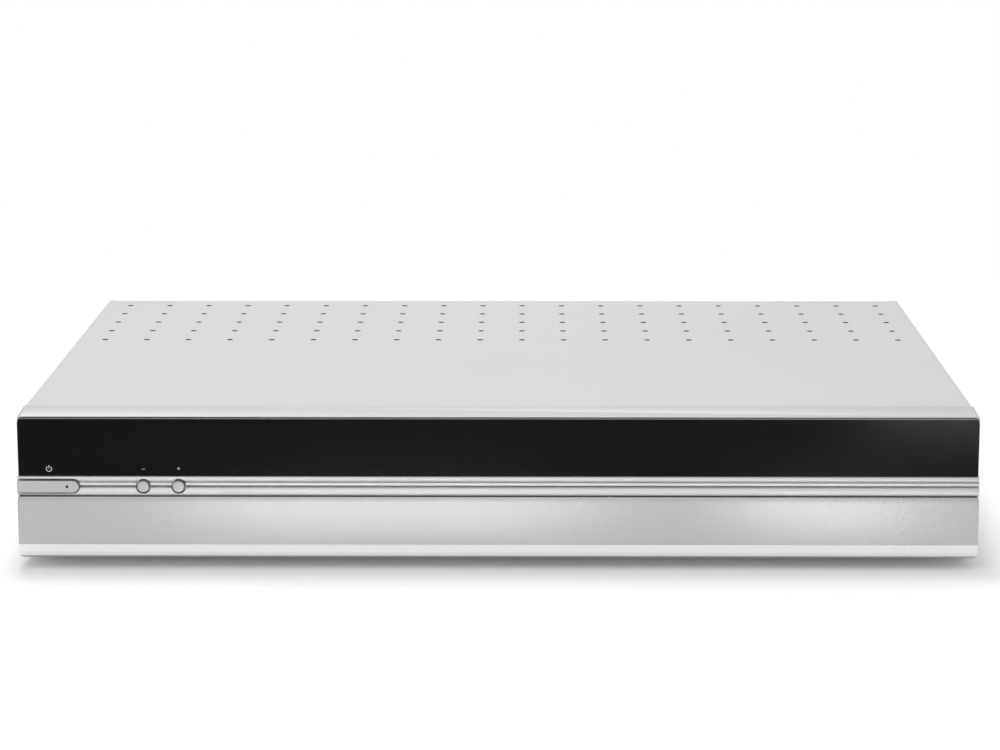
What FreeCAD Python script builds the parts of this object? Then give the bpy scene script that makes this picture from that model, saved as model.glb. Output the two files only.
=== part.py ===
import FreeCAD, Part
import math
import os

Vector = FreeCAD.Vector

# A satellite television receiver with a built-in disk recorder, a full-width set for a hi-fi shelf.
# A moulded fascia closes the front of a sheet-steel chassis, and a bent steel cover drops over it.
# X runs to the right, Y runs back from the fascia, Z runs up from the surface that the feet stand on.
# Every piece is drawn with Y = 0 at the face of the lower front panel. When it is saved it moves
# forward by FACE_Y, so that the origin lies under the middle of the whole set. Lengths are millimetres.

# Driving dimensions of the set
WIDTH = 435.0
BODY_DEPTH = 301.0
HEIGHT = 72.0
FOOT_HEIGHT = 5.5
FASCIA_FLOOR = 5.0
FASCIA_DEPTH = 21.0
MOULDING = 2.2
COVER_SHEET = 0.8
COVER_BEND = 1.5
COVER_LIP_FOOT = 62.0
CHASSIS_SHEET = 1.0
GAP = 0.2
SEAT_GAP = 0.05
RUNNING_FIT = 0.08
THREAD_FIT = 0.03
LOOSE_FIT = 0.3

HALF_WIDTH = WIDTH / 2
COVER_HALF_WIDTH = 216.6
COVER_TOP = HEIGHT - 0.2
REAR_PANEL_BACK = BODY_DEPTH - COVER_SHEET - 0.1
REAR_PANEL_FRONT = REAR_PANEL_BACK - CHASSIS_SHEET
TRAY_FLOOR = FOOT_HEIGHT
TRAY_TOP = TRAY_FLOOR + CHASSIS_SHEET
BULKHEAD_FRONT = FASCIA_DEPTH + 1.0
BULKHEAD_BACK = BULKHEAD_FRONT + CHASSIS_SHEET
BULKHEAD_TOP = 70.6
BULKHEAD_FOLD = 9.0
TRAY_SIDE_TOP = 17.0
TRAY_REAR_TOP = 12.2

# Air slots in the tray and the rear panel
SLOT_WIDTH = 3.4
DRIVE_SLOT_X = [14.0 * i - 21.0 for i in range(5)]
DRIVE_SLOT_Y = (60.0, 150.0)
BOARD_SLOT_X = [14.0 * i + 103.0 for i in range(6)]
BOARD_SLOT_Y = (120.0, 180.0)
REAR_SLOT_X = [14.0 * i + 84.0 for i in range(9)]
REAR_SLOT_Z = (56.5, 59.5)

# Fascia: distances back from the lower panel's face, and heights
WEB_FRONT = 5.0
WEB_BACK = WEB_FRONT + MOULDING
BAND_FRONT = 2.5
BAND_FRONT_Z = 71.0
LIP_UNDERSIDE = 70.5
FASCIA_CORNER = 2.1
WINDOW_FACE = 2.0
WINDOW_HALF_WIDTH = HALF_WIDTH - 0.5
WINDOW_BOTTOM = 43.4
WINDOW_TOP = 70.35
WINDOW_BEVEL = 0.55
STRIP_BOTTOM = 34.25
STRIP_TOP = 43.3
PANEL_TOP = 33.6
PANEL_CREASE = 11.9
PANEL_EDGE_RADIUS = 0.35

# Front buttons
BUTTON_Z = 38.8
BUTTON_PROUD = 0.6
BUTTON_RADIUS = 2.6
BUTTON_HOLE_RADIUS = 3.3
BUTTON_GUIDE_RADIUS = BUTTON_RADIUS + RUNNING_FIT
BUTTON_STEM_RADIUS = 1.5
BUTTON_SIDES = 16
CHANNEL_DOWN_X = -160.3
CHANNEL_UP_X = -144.3
CHANNEL_X = (CHANNEL_DOWN_X, CHANNEL_UP_X)
STANDBY_TIP_X = -189.4
STANDBY_HALF_HEIGHT = 2.9
STANDBY_SLOT_MARGIN = 0.5
STANDBY_SWITCH_X = -203.0
STANDBY_LAMP_X = -194.7
LAMP_RADIUS = 0.9

# Front board and what stands on it
BOARD_SHEET = 1.6
FRONT_BOARD_FACE = 16.0
FRONT_BOARD_LEFT = -211.0
FRONT_BOARD_RIGHT = 112.0
FRONT_BOARD_BOTTOM = 13.5
FRONT_BOARD_TOP = 60.5
SWITCH_HEIGHT = 3.5
PLUNGER_TIP = 11.4
PLUNGER_RADIUS = 1.7
DISPLAY_X = 20.0
REMOTE_X = 92.0
INDICATOR_X = (-62.0, -54.0, -46.0)
BEHIND_WINDOW_Z = 57.0
HOOK_X = (-180.0, -72.0, 72.0, 180.0)
WEB_RIB_X = (-168.0, -20.0, 125.0)
HOOK_HIGH_Z = 62.5
HOOK_LOW_Z = 11.0
RIBBON_X = (84.0, 104.0)
RIBBON_Z = 24.0
FRONT_BOSSES = ((-205.0, 56.0), (-60.0, 18.0), (106.0, 18.0))

# Cover vents, counted and spaced as on the set
VENT_COLUMNS = 20
VENT_ROWS = 5
VENT_PITCH_X = 21.3
VENT_PITCH_Y = 25.0
VENT_REAR_Y = 284.5
VENT_RADIUS = 1.6
VENT_SIDES = 4

# Boards and modules inside
STANDOFF_HEIGHT = 6.0
BOARD_UNDERSIDE = TRAY_TOP + STANDOFF_HEIGHT
BOARD_TOP = BOARD_UNDERSIDE + BOARD_SHEET
BOARD_BACK = 296.0
MAIN_LEFT, MAIN_RIGHT, MAIN_FRONT = -62.0, 211.0, 190.0
WING_LEFT, WING_FRONT = 76.0, 95.0
POWER_LEFT, POWER_RIGHT, POWER_FRONT = -209.0, -137.0, 112.0
MAIN_STANDOFFS = ((-57.0, 196.0), (-57.0, 268.0), (206.0, 222.0), (206.0, 100.0), (81.0, 100.0))
POWER_STANDOFFS = ((-204.0, 117.0), (-142.0, 117.0), (-204.0, 250.0), (-142.0, 250.0))
PROCESSOR = (141.0, 150.0)
FAN_X = -100.0
FAN_Z = 37.5
FAN_SIDE = 50.0
FAN_DEPTH = 15.0
FAN_BORE = 23.5
FAN_SCREW_PITCH = 40.0
FAN_HUB_RADIUS = 10.5
FAN_BLADES = 7
BLADE_TILT = 38.0
GRILLE_PITCH = 4.9
GRILLE_RADIUS = 21.5
BLADE_SHEET = 1.1
BLADE_ROOT = (9.6, 8.0)
BLADE_TIP = (22.0, 12.0)

# Rear sockets: centre across the set and height
AERIAL_X = (130.5, 149.5, 177.5, 196.5)
AERIAL_Z = 25.5
AERIAL_RADIUS = 4.7
AERIAL_REACH = 10.0
AERIAL_THREAD = 7.4
AERIAL_ROOT_RADIUS = 4.2
AERIAL_NUT = 2.2
SCART_X = 88.0
SCART_Z = (22.5, 45.5)
PHONO_X = 42.0
PHONO_Z = (24.0, 38.0)
PHONO_RADIUS = 4.15
OPTICAL_X = 12.0
OPTICAL_Z = 20.1
SERIAL_X = -14.0
SERIAL_Z = 21.0
PHONE_X = -46.0
PHONE_Z = 21.4
CARD_X = -8.0
CARD_Z = 55.0
MAINS_X = -182.0
MAINS_Z = 21.6

# Disk drive: a standard 3.5 inch drive, hung by its sides
DRIVE_WIDTH = 101.6
DRIVE_LENGTH = 147.0
DRIVE_LEFT = -40.0
DRIVE_RIGHT = DRIVE_LEFT + DRIVE_WIDTH
DRIVE_FRONT = 32.0
DRIVE_BACK = DRIVE_FRONT + DRIVE_LENGTH
DRIVE_BOARD_Z = 14.4
DRIVE_BODY_Z = DRIVE_BOARD_Z + BOARD_SHEET
DRIVE_COVER_Z = 39.5
DRIVE_TOP = 40.5
DRIVE_SCREW_Z = 20.4
DRIVE_SCREW_Y = (DRIVE_FRONT + 28.5, DRIVE_FRONT + 130.1)
BRACKET_CLEARANCE = 2.4
BRACKET_SHEET = 1.0
GROMMET_SIDES = 6
SPINDLE_X = 10.8
SPINDLE_RADIUS = 12.5
SPINDLE_Y = DRIVE_FRONT + 50.0
PLATTER_RADIUS = 47.5
PLATTER_SHEET = 1.27
PLATTER_Z = 29.0
ARM_PIVOT_X = 20.0
ARM_PIVOT_Y = SPINDLE_Y + 53.0
ARM_LENGTH = 44.0
ARM_REST_ANGLE = 236.7

# Feet, standoffs and screws
FOOT_RADIUS = 9.6
FOOT_WELL_RADIUS = 4.2
FOOT_WELL_DEPTH = 2.4
FOOT_SPOTS = [(x, y) for x in (-180.0, 180.0) for y in (48.0, 262.0)]
SCREW_RADIUS = 1.5
SCREW_HEAD_RADIUS = 2.9
SCREW_HEAD_HEIGHT = 1.9
SCREW_SIDES = 6
SHANK_SIDES = 4
SOCKET_END = REAR_PANEL_BACK + AERIAL_REACH
FACE_Y = -(SOCKET_END - BUTTON_PROUD) / 2


# Drawing helpers

def box(x0, x1, y0, y1, z0, z1):
    """A block between two corners."""
    return Part.makeBox(x1 - x0, y1 - y0, z1 - z0, Vector(x0, y0, z0))


def rod(radius, y0, y1, x, z):
    """A round rod that runs back through the set."""
    return Part.makeCylinder(radius, y1 - y0, Vector(x, y0, z), Vector(0, 1, 0))


def post(radius, z0, z1, x, y):
    """A round upright."""
    return Part.makeCylinder(radius, z1 - z0, Vector(x, y, z0))


def outline(place, start, *steps):
    """A flat face bounded by straight runs and arcs. A step is a corner (a, b), or an arc as
    (middle, end). place turns the two flat coordinates into a point in space."""
    edges = []
    here = start
    for step in list(steps) + [start]:
        if isinstance(step[0], tuple):
            middle, there = step
            edges.append(Part.Arc(place(*here), place(*middle), place(*there)).toShape())
        else:
            there = step
            if place(*here).distanceToPoint(place(*there)) > 1e-6:
                edges.append(Part.LineSegment(place(*here), place(*there)).toShape())
        here = there
    return Part.Face(Part.Wire(edges))


def side_profile(x0, x1, start, *steps):
    """A bar from x0 to x1 whose section is drawn as (depth, height)."""
    face = outline(lambda y, z: Vector(x0, y, z), start, *steps)
    return face.extrude(Vector(x1 - x0, 0, 0))


def front_profile(y0, y1, start, *steps):
    """A bar from y0 back to y1 whose outline is drawn as (across, height)."""
    face = outline(lambda x, z: Vector(x, y0, z), start, *steps)
    return face.extrude(Vector(0, y1 - y0, 0))


def plan_profile(z0, z1, start, *steps):
    """A plate from z0 up to z1 whose outline is drawn as (across, depth)."""
    face = outline(lambda x, y: Vector(x, y, z0), start, *steps)
    return face.extrude(Vector(0, 0, z1 - z0))


def arc_corner(cx, cy, radius, start_angle):
    """A quarter turn about (cx, cy), as the outline helper's arc step."""
    def at(degrees):
        turn = math.radians(degrees)
        return (cx + radius * math.cos(turn), cy + radius * math.sin(turn))
    return (at(start_angle + 45), at(start_angle + 90))


def rounded_steps(x0, x1, z0, z1, low_radius, high_radius):
    """Start and steps of a rectangle with round corners, anticlockwise from its lower left."""
    low, high = low_radius, high_radius
    start = (x0 + low, z0)
    steps = [
        (x1 - low, z0),
        arc_corner(x1 - low, z0 + low, low, -90),
        (x1, z1 - high),
        arc_corner(x1 - high, z1 - high, high, 0),
        (x0 + high, z1),
        arc_corner(x0 + high, z1 - high, high, 90),
        (x0, z0 + low),
        arc_corner(x0 + low, z0 + low, low, 180),
    ]
    return start, steps


def rounded_plate(x0, x1, z0, z1, y0, y1, low_radius, high_radius):
    """An upright plate with round corners."""
    start, steps = rounded_steps(x0, x1, z0, z1, low_radius, high_radius)
    return front_profile(y0, y1, start, *steps)


def pill(x0, x1, z, half_height, y0, y1):
    """An upright plate with half-round ends."""
    return rounded_plate(x0, x1, z - half_height, z + half_height, y0, y1,
                         half_height - 0.001, half_height - 0.001)


def faceted_rod(sides, radius, y0, y1, x, z):
    """A rod that runs back through the set and has flat sides outside the stated radius, for small
    or hidden rounds."""
    return many_sided(sides, radius / math.cos(math.pi / sides), Vector(x, y0, z), Vector(0, y1 - y0, 0))


def faceted_post(sides, radius, z0, z1, x, y):
    """An upright with flat sides outside the stated radius."""
    return many_sided(sides, radius / math.cos(math.pi / sides), Vector(x, y, z0), Vector(0, 0, z1 - z0))


def many_sided(sides, radius, base, direction):
    """A straight prism on a regular polygon, from the point base along direction."""
    along = Vector(direction)
    across = Vector(1, 0, 0) if abs(along.x) < 1e-9 else Vector(0, 1, 0)
    other = across.cross(along).normalize()
    ring = []
    for i in range(sides):
        turn = 2 * math.pi * (i + 0.5) / sides
        ring.append(base + across * (radius * math.cos(turn)) + other * (radius * math.sin(turn)))
    return Part.Face(Part.makePolygon(ring + [ring[0]])).extrude(along)


def screw(head_face, direction, length):
    """A pan-head screw: head_face is the middle of the face that the head seats on, and direction
    points the way the screw goes in."""
    inward = Vector(*direction)
    head = many_sided(SCREW_SIDES, SCREW_HEAD_RADIUS, head_face, inward * -SCREW_HEAD_HEIGHT)
    shank = many_sided(SHANK_SIDES, SCREW_RADIUS, head_face, inward * length)
    return head.fuse(shank).removeSplitter()


def screws(spots):
    """A set of alike screws; each spot is (head_face, direction, length)."""
    return group([screw(*spot) for spot in spots])


def screw_holes(spots, clearance):
    """The room that the shanks of a set of screws need."""
    holes = []
    for head_face, direction, length in spots:
        inward = Vector(*direction)
        room = SCREW_RADIUS + clearance * math.sqrt(2)
        holes.append(many_sided(SHANK_SIDES, room, head_face - inward, inward * (length + 2)))
    return holes


def strip(place, path, thickness, width):
    """A flat cable or bent sheet: a band of even thickness along a path of flat points. place turns
    the flat points into points in space and width is the vector that the band is wide along."""
    near, far = [], []
    for i, here in enumerate(path):
        before = path[max(i - 1, 0)]
        after = path[min(i + 1, len(path) - 1)]
        run_in = unit(before, here) if i > 0 else unit(here, after)
        run_out = unit(here, after) if i < len(path) - 1 else run_in
        middle = unit((0, 0), (run_in[0] + run_out[0], run_in[1] + run_out[1]))
        reach = thickness / 2 / (middle[0] * run_in[0] + middle[1] * run_in[1])
        near.append((here[0] - middle[1] * reach, here[1] + middle[0] * reach))
        far.append((here[0] + middle[1] * reach, here[1] - middle[0] * reach))
    corners = near + far[::-1]
    return outline(place, corners[0], *corners[1:]).extrude(width)


def unit(here, there):
    """The direction from one flat point to another, of length one."""
    run = (there[0] - here[0], there[1] - here[1])
    size = math.hypot(*run)
    return (run[0] / size, run[1] / size)


def joined(pieces):
    """One solid from pieces that touch."""
    whole = pieces[0].fuse(pieces[1:]) if len(pieces) > 1 else pieces[0]
    return whole.removeSplitter()


def group(pieces):
    """Separate solids that share one node."""
    return Part.makeCompound(pieces)


# Fascia

def band_height(y):
    """Height of the silver band's top at a depth behind the lower panel's face."""
    slope = (HEIGHT - BAND_FRONT_Z) / (FASCIA_DEPTH - BAND_FRONT)
    return BAND_FRONT_Z + slope * (y - BAND_FRONT)


def fascia_shell():
    """The moulding's outside: one part that runs straight back, and one that leans up along the
    sloping silver band."""
    lean = Vector(0, FASCIA_DEPTH - BAND_FRONT, HEIGHT - BAND_FRONT_Z)
    start, steps = rounded_steps(-HALF_WIDTH, HALF_WIDTH, STRIP_TOP, BAND_FRONT_Z, 0.1, FASCIA_CORNER)
    leaning = outline(lambda x, z: Vector(x, BAND_FRONT, z), start, *steps).extrude(lean)
    straight = rounded_plate(-HALF_WIDTH, HALF_WIDTH, FASCIA_FLOOR, STRIP_TOP + 3, BAND_FRONT, FASCIA_DEPTH,
                             FASCIA_CORNER, 0.1)
    return joined([leaning, straight])


def standby_slot(y0, y1):
    """The slot that the standby bar moves in; it runs out through the left-hand end."""
    margin = STANDBY_SLOT_MARGIN
    return pill(-HALF_WIDTH - 10, STANDBY_TIP_X + margin, BUTTON_Z, STANDBY_HALF_HEIGHT + margin, y0, y1)


def front_frame():
    """The moulding that carries the whole front. It is open at the back, with a web behind the
    window and panel, posts for the front board and hooks that snap into the chassis."""
    body = fascia_shell().cut(box(-HALF_WIDTH - 1, HALF_WIDTH + 1, 0, WEB_FRONT, 0, LIP_UNDERSIDE))
    inside = HALF_WIDTH - MOULDING
    hollow = side_profile(
        -inside, inside,
        (WEB_BACK, FASCIA_FLOOR + MOULDING),
        (FASCIA_DEPTH + 1, FASCIA_FLOOR + MOULDING),
        (FASCIA_DEPTH + 1, band_height(FASCIA_DEPTH + 1) - MOULDING),
        (WEB_BACK, band_height(WEB_BACK) - MOULDING),
    )
    pieces = [body.cut(hollow)]
    for x, z in FRONT_BOSSES:
        pieces.append(faceted_rod(6, 3.0, WEB_BACK - 0.5, FRONT_BOARD_FACE, x, z))
    for x in HOOK_X:
        pieces += [snap_hook(x, HOOK_HIGH_Z, 1), snap_hook(x, HOOK_LOW_Z, -1)]
    for x in WEB_RIB_X:
        pieces.append(box(x - 0.8, x + 0.8, WEB_BACK - 0.5, WEB_BACK + 4, FASCIA_FLOOR + 1, 32))
    holes = screw_holes(front_board_fixings(), THREAD_FIT)
    holes += [faceted_rod(BUTTON_SIDES, BUTTON_GUIDE_RADIUS, 0, WEB_BACK + 1, x, BUTTON_Z) for x in CHANNEL_X]
    holes.append(box(STANDBY_SWITCH_X - 6.5, STANDBY_LAMP_X + 2.5, 0, WEB_BACK + 1, BUTTON_Z - 2.5,
                     BUTTON_Z + 2.5))
    holes.append(box(DISPLAY_X - 36, DISPLAY_X + 36, 0, WEB_BACK + 1, BEHIND_WINDOW_Z - 9,
                     BEHIND_WINDOW_Z + 9))
    holes.append(box(REMOTE_X - 5, REMOTE_X + 5, 0, WEB_BACK + 1, BEHIND_WINDOW_Z - 5, BEHIND_WINDOW_Z + 5))
    holes.append(box(INDICATOR_X[0] - 2, INDICATOR_X[-1] + 2, 0, WEB_BACK + 1, BEHIND_WINDOW_Z - 1.8,
                     BEHIND_WINDOW_Z + 1.8))
    holes += [box(x - 4, x + 4, 0, WEB_BACK + 1, z - 1.6, z + 1.6) for x, z in panel_clip_spots()]
    return joined(pieces).cut(holes).removeSplitter()


def snap_hook(x, z, way):
    """A springy arm from the web, with a nib that catches behind the chassis bulkhead. way is 1
    for a nib that points up and -1 for one that points down."""
    root = WEB_BACK - 0.5
    tip = BULKHEAD_BACK + 1.9
    return side_profile(
        x - 5, x + 5,
        (root, z), (root, z + 1.8 * way), (BULKHEAD_BACK + 0.15, z + 1.8 * way),
        (BULKHEAD_BACK + 0.15, z + 3.0 * way), (tip, z + 1.8 * way), (tip, z),
    )


def display_window():
    """The smoked window across the upper half of the front, bevelled along its top and ends."""
    slab = rounded_plate(-WINDOW_HALF_WIDTH, WINDOW_HALF_WIDTH, WINDOW_BOTTOM, WINDOW_TOP,
                         WINDOW_FACE, WEB_FRONT, 0.3, FASCIA_CORNER)
    half, bevel = WINDOW_HALF_WIDTH, WINDOW_BEVEL
    top_bevel = side_profile(
        -half, half,
        (WEB_FRONT, WINDOW_BOTTOM), (WINDOW_FACE, WINDOW_BOTTOM), (WINDOW_FACE, WINDOW_TOP - bevel),
        (WINDOW_FACE + bevel, WINDOW_TOP), (WEB_FRONT, WINDOW_TOP),
    )
    end_bevels = plan_profile(
        WINDOW_BOTTOM, WINDOW_TOP,
        (-half, WEB_FRONT), (-half, WINDOW_FACE + bevel), (-half + bevel, WINDOW_FACE),
        (half - bevel, WINDOW_FACE), (half, WINDOW_FACE + bevel), (half, WEB_FRONT),
    )
    return slab.common(top_bevel).common(end_bevels)


def trim_strip():
    """The fluted strip between the window and the lower panel: a rounded shelf over a narrow
    ledge, a groove, and a fuller rounded bead below."""
    strip = side_profile(
        -HALF_WIDTH, HALF_WIDTH,
        (WEB_FRONT, STRIP_BOTTOM),
        (1.0, STRIP_BOTTOM),
        ((0.45, 34.5), (0.35, 35.1)),
        ((0.55, 37.15), (1.75, 38.4)),
        (2.1, 38.5), (2.1, 39.1),
        (0.85, 39.35), (0.85, 40.2), (1.35, 40.7),
        ((1.65, 42.2), (2.6, STRIP_TOP)),
        (WEB_FRONT, STRIP_TOP),
    )
    holes = [faceted_rod(12, BUTTON_HOLE_RADIUS, -1, WEB_FRONT + 1, x, BUTTON_Z) for x in CHANNEL_X]
    return strip.cut(holes + [standby_slot(-1, WEB_FRONT + 1)]).removeSplitter()


def panel_clip_spots():
    """Where the lower panel clips through the web: five clips in one row."""
    return [(x, 22.0) for x in (-190.0, -95.0, 0.0, 95.0, 190.0)]


def lower_panel():
    """The silver panel under the strip. Its lower part leans back below a crease and rolls under."""
    outside = side_profile(
        -HALF_WIDTH, HALF_WIDTH,
        (WEB_FRONT, PANEL_TOP), (PANEL_EDGE_RADIUS, PANEL_TOP), (0, PANEL_TOP - PANEL_EDGE_RADIUS),
        (0, PANEL_CREASE), (1.5, 7.4),
        ((2.2, 5.7), (3.7, FASCIA_FLOOR)),
        (WEB_FRONT, FASCIA_FLOOR),
    )
    round_ends = rounded_plate(-HALF_WIDTH, HALF_WIDTH, FASCIA_FLOOR, PANEL_TOP + 5, -1, WEB_FRONT + 1,
                               FASCIA_CORNER, 1.0)
    inside = HALF_WIDTH - MOULDING
    hollow = side_profile(
        -inside, inside,
        (WEB_FRONT + 1, PANEL_TOP - MOULDING), (MOULDING, PANEL_TOP - MOULDING), (MOULDING, PANEL_CREASE),
        (MOULDING + 1.4, FASCIA_FLOOR + MOULDING), (WEB_FRONT + 1, FASCIA_FLOOR + MOULDING),
    )
    pieces = [outside.common(round_ends).cut(hollow)]
    for x in (-145.0, -47.5, 47.5, 145.0):
        pieces.append(box(x - 0.6, x + 0.6, MOULDING - 0.3, WEB_FRONT - 0.3, FASCIA_FLOOR + 1, PANEL_TOP - 1))
    for x, z in panel_clip_spots():
        pieces.append(side_profile(
            x - 3.5, x + 3.5,
            (MOULDING - 0.3, z - 0.8), (WEB_BACK + 1.4, z - 0.8), (WEB_BACK + 0.1, z + 1.9),
            (WEB_BACK + 0.1, z + 0.8), (MOULDING - 0.3, z + 0.8),
        ))
    return joined(pieces)


# Buttons and the switches that they press

def channel_button(x):
    """A round cap on a stepped stem. The collar stops it behind the web and the stem's end rests
    on the switch."""
    face = -BUTTON_PROUD
    collar = WEB_BACK + SEAT_GAP
    crown = faceted_rod(BUTTON_SIDES, BUTTON_RADIUS - 0.35, face, face + 0.4, x, BUTTON_Z)
    cap = faceted_rod(BUTTON_SIDES, BUTTON_RADIUS, face + 0.3, collar + 0.5, x, BUTTON_Z)
    stop = faceted_rod(12, 3.8, collar, collar + 1.0, x, BUTTON_Z)
    stem = faceted_rod(8, BUTTON_STEM_RADIUS, collar + 0.5, PLUNGER_TIP, x, BUTTON_Z)
    return joined([crown, cap, stop, stem])


def standby_button():
    """The long bar at the left-hand end, rounded at its inner tip and flush with the fascia's end,
    on a boss that reaches through the web."""
    face = -BUTTON_PROUD + 0.2
    bar = rounded_plate(-HALF_WIDTH - 8, STANDBY_TIP_X, BUTTON_Z - STANDBY_HALF_HEIGHT,
                        BUTTON_Z + STANDBY_HALF_HEIGHT, face, 4.0, STANDBY_HALF_HEIGHT - 0.001,
                        STANDBY_HALF_HEIGHT - 0.001)
    bar = bar.common(box(-HALF_WIDTH, HALF_WIDTH, -5, 5, 0, HEIGHT))
    front_edges = [e for e in bar.Edges if all(abs(v.Y - face) < 1e-6 for v in e.Vertexes)]
    bar = bar.makeChamfer(0.3, front_edges)
    boss = box(STANDBY_SWITCH_X - 6.0, STANDBY_LAMP_X + 2.0, 3.0, WEB_BACK + 0.1,
               BUTTON_Z - 2.0, BUTTON_Z + 2.0)
    collar = box(STANDBY_SWITCH_X - 6.0, STANDBY_LAMP_X + 2.0, WEB_BACK + 0.05, WEB_BACK + 1.2,
                 BUTTON_Z - 3.6, BUTTON_Z + 3.6)
    stem = faceted_rod(8, BUTTON_STEM_RADIUS, WEB_BACK + 1.0, PLUNGER_TIP, STANDBY_SWITCH_X, BUTTON_Z)
    lamp_hole = faceted_rod(12, LAMP_RADIUS + THREAD_FIT, face - 1, WEB_BACK + 2, STANDBY_LAMP_X, BUTTON_Z)
    return joined([bar, boss, collar, stem]).cut(lamp_hole).removeSplitter()


def standby_light_guide():
    """A clear rod pressed into the standby bar, which brings the lamp's light to the front."""
    return faceted_rod(12, LAMP_RADIUS, -BUTTON_PROUD + 0.35, WEB_BACK + 2.4, STANDBY_LAMP_X, BUTTON_Z)


def switch_plunger(x):
    """The sprung pin of a push switch."""
    return faceted_rod(8, PLUNGER_RADIUS, PLUNGER_TIP, PLUNGER_TIP + 2.5, x, BUTTON_Z)


def switch_housings():
    """The cases of the three push switches, on the front board."""
    cases = []
    for x in (STANDBY_SWITCH_X, CHANNEL_DOWN_X, CHANNEL_UP_X):
        case = box(x - 3, x + 3, FRONT_BOARD_FACE - SWITCH_HEIGHT, FRONT_BOARD_FACE,
                   BUTTON_Z - 3, BUTTON_Z + 3)
        well = faceted_rod(8, PLUNGER_RADIUS + RUNNING_FIT, 0, FRONT_BOARD_FACE - 1.0, x, BUTTON_Z)
        cases.append(case.cut(well))
    return group(cases)


# Front board

def front_board():
    """The circuit board behind the fascia, which carries the switches, lamps and clock."""
    board = box(FRONT_BOARD_LEFT, FRONT_BOARD_RIGHT, FRONT_BOARD_FACE, FRONT_BOARD_FACE + BOARD_SHEET,
                FRONT_BOARD_BOTTOM, FRONT_BOARD_TOP)
    plug = box(RIBBON_X[0] - 1, RIBBON_X[1] + 1, FRONT_BOARD_FACE + BOARD_SHEET, BULKHEAD_FRONT - 0.6,
               RIBBON_Z - 3, RIBBON_Z + 3)
    return joined([board, plug]).cut(screw_holes(front_board_fixings(), LOOSE_FIT))


def clock_display():
    """A glass display tube with its backing frame, seen through the window when it is lit."""
    frame = box(DISPLAY_X - 35, DISPLAY_X + 35, FRONT_BOARD_FACE - 2.0, FRONT_BOARD_FACE,
                BEHIND_WINDOW_Z - 8.5, BEHIND_WINDOW_Z + 3.5)
    glass = box(DISPLAY_X - 33, DISPLAY_X + 33, FRONT_BOARD_FACE - 7.5, FRONT_BOARD_FACE - 2.0,
                BEHIND_WINDOW_Z - 8, BEHIND_WINDOW_Z + 8)
    return joined([frame, glass])


def remote_sensor():
    """The infra-red eye for the remote control: a block with a round lens."""
    block = box(REMOTE_X - 3.5, REMOTE_X + 3.5, FRONT_BOARD_FACE - 4.5, FRONT_BOARD_FACE,
                BEHIND_WINDOW_Z - 8, BEHIND_WINDOW_Z + 3.4)
    lens = faceted_rod(12, 2.8, FRONT_BOARD_FACE - 6.8, FRONT_BOARD_FACE - 4.0, REMOTE_X, BEHIND_WINDOW_Z)
    return joined([block, lens])


def indicator_lamps():
    """Three lamps behind the window and the one behind the standby bar."""
    lamps = []
    for x in INDICATOR_X:
        dome = faceted_rod(6, 1.5, FRONT_BOARD_FACE - 6.5, FRONT_BOARD_FACE - 1, x, BEHIND_WINDOW_Z)
        base = faceted_rod(6, 1.9, FRONT_BOARD_FACE - 1.5, FRONT_BOARD_FACE, x, BEHIND_WINDOW_Z)
        lamps.append(joined([dome, base]))
    lamps.append(box(STANDBY_LAMP_X - 1.2, STANDBY_LAMP_X + 1.2, 11.6, FRONT_BOARD_FACE,
                     BUTTON_Z - 1.2, BUTTON_Z + 1.2))
    return group(lamps)


def front_board_fixings():
    """Screws from the board into the frame's posts."""
    return [(Vector(x, FRONT_BOARD_FACE + BOARD_SHEET, z), (0, -1, 0), 6.0) for x, z in FRONT_BOSSES]


# Sheet-metal body

def cover_fixings():
    """Screws through the cover's rear lip into the rear panel."""
    return [(Vector(x, BODY_DEPTH, 66.2), (0, -1, 0), 5.0) for x in (-196.0, 0.0, 196.0)]


def rear_panel_fixings():
    """Screws through the foot of the rear panel into the tray's rear upstand."""
    return [(Vector(x, REAR_PANEL_BACK, 9.3), (0, -1, 0), 5.0) for x in (-205.0, 0.0, 205.0)]


def fan_fixings():
    """Screws through the rear panel into the corners of the fan."""
    half = FAN_SCREW_PITCH / 2
    return [(Vector(FAN_X + sx * half, REAR_PANEL_BACK, FAN_Z + sz * half), (0, -1, 0), 10.0)
            for sx in (-1, 1) for sz in (-1, 1)]


def foot_fixings():
    """Screws up through the feet into the tray."""
    return [(Vector(x, y, FOOT_WELL_DEPTH), (0, 0, 1), 6.0) for x, y in FOOT_SPOTS]


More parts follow.
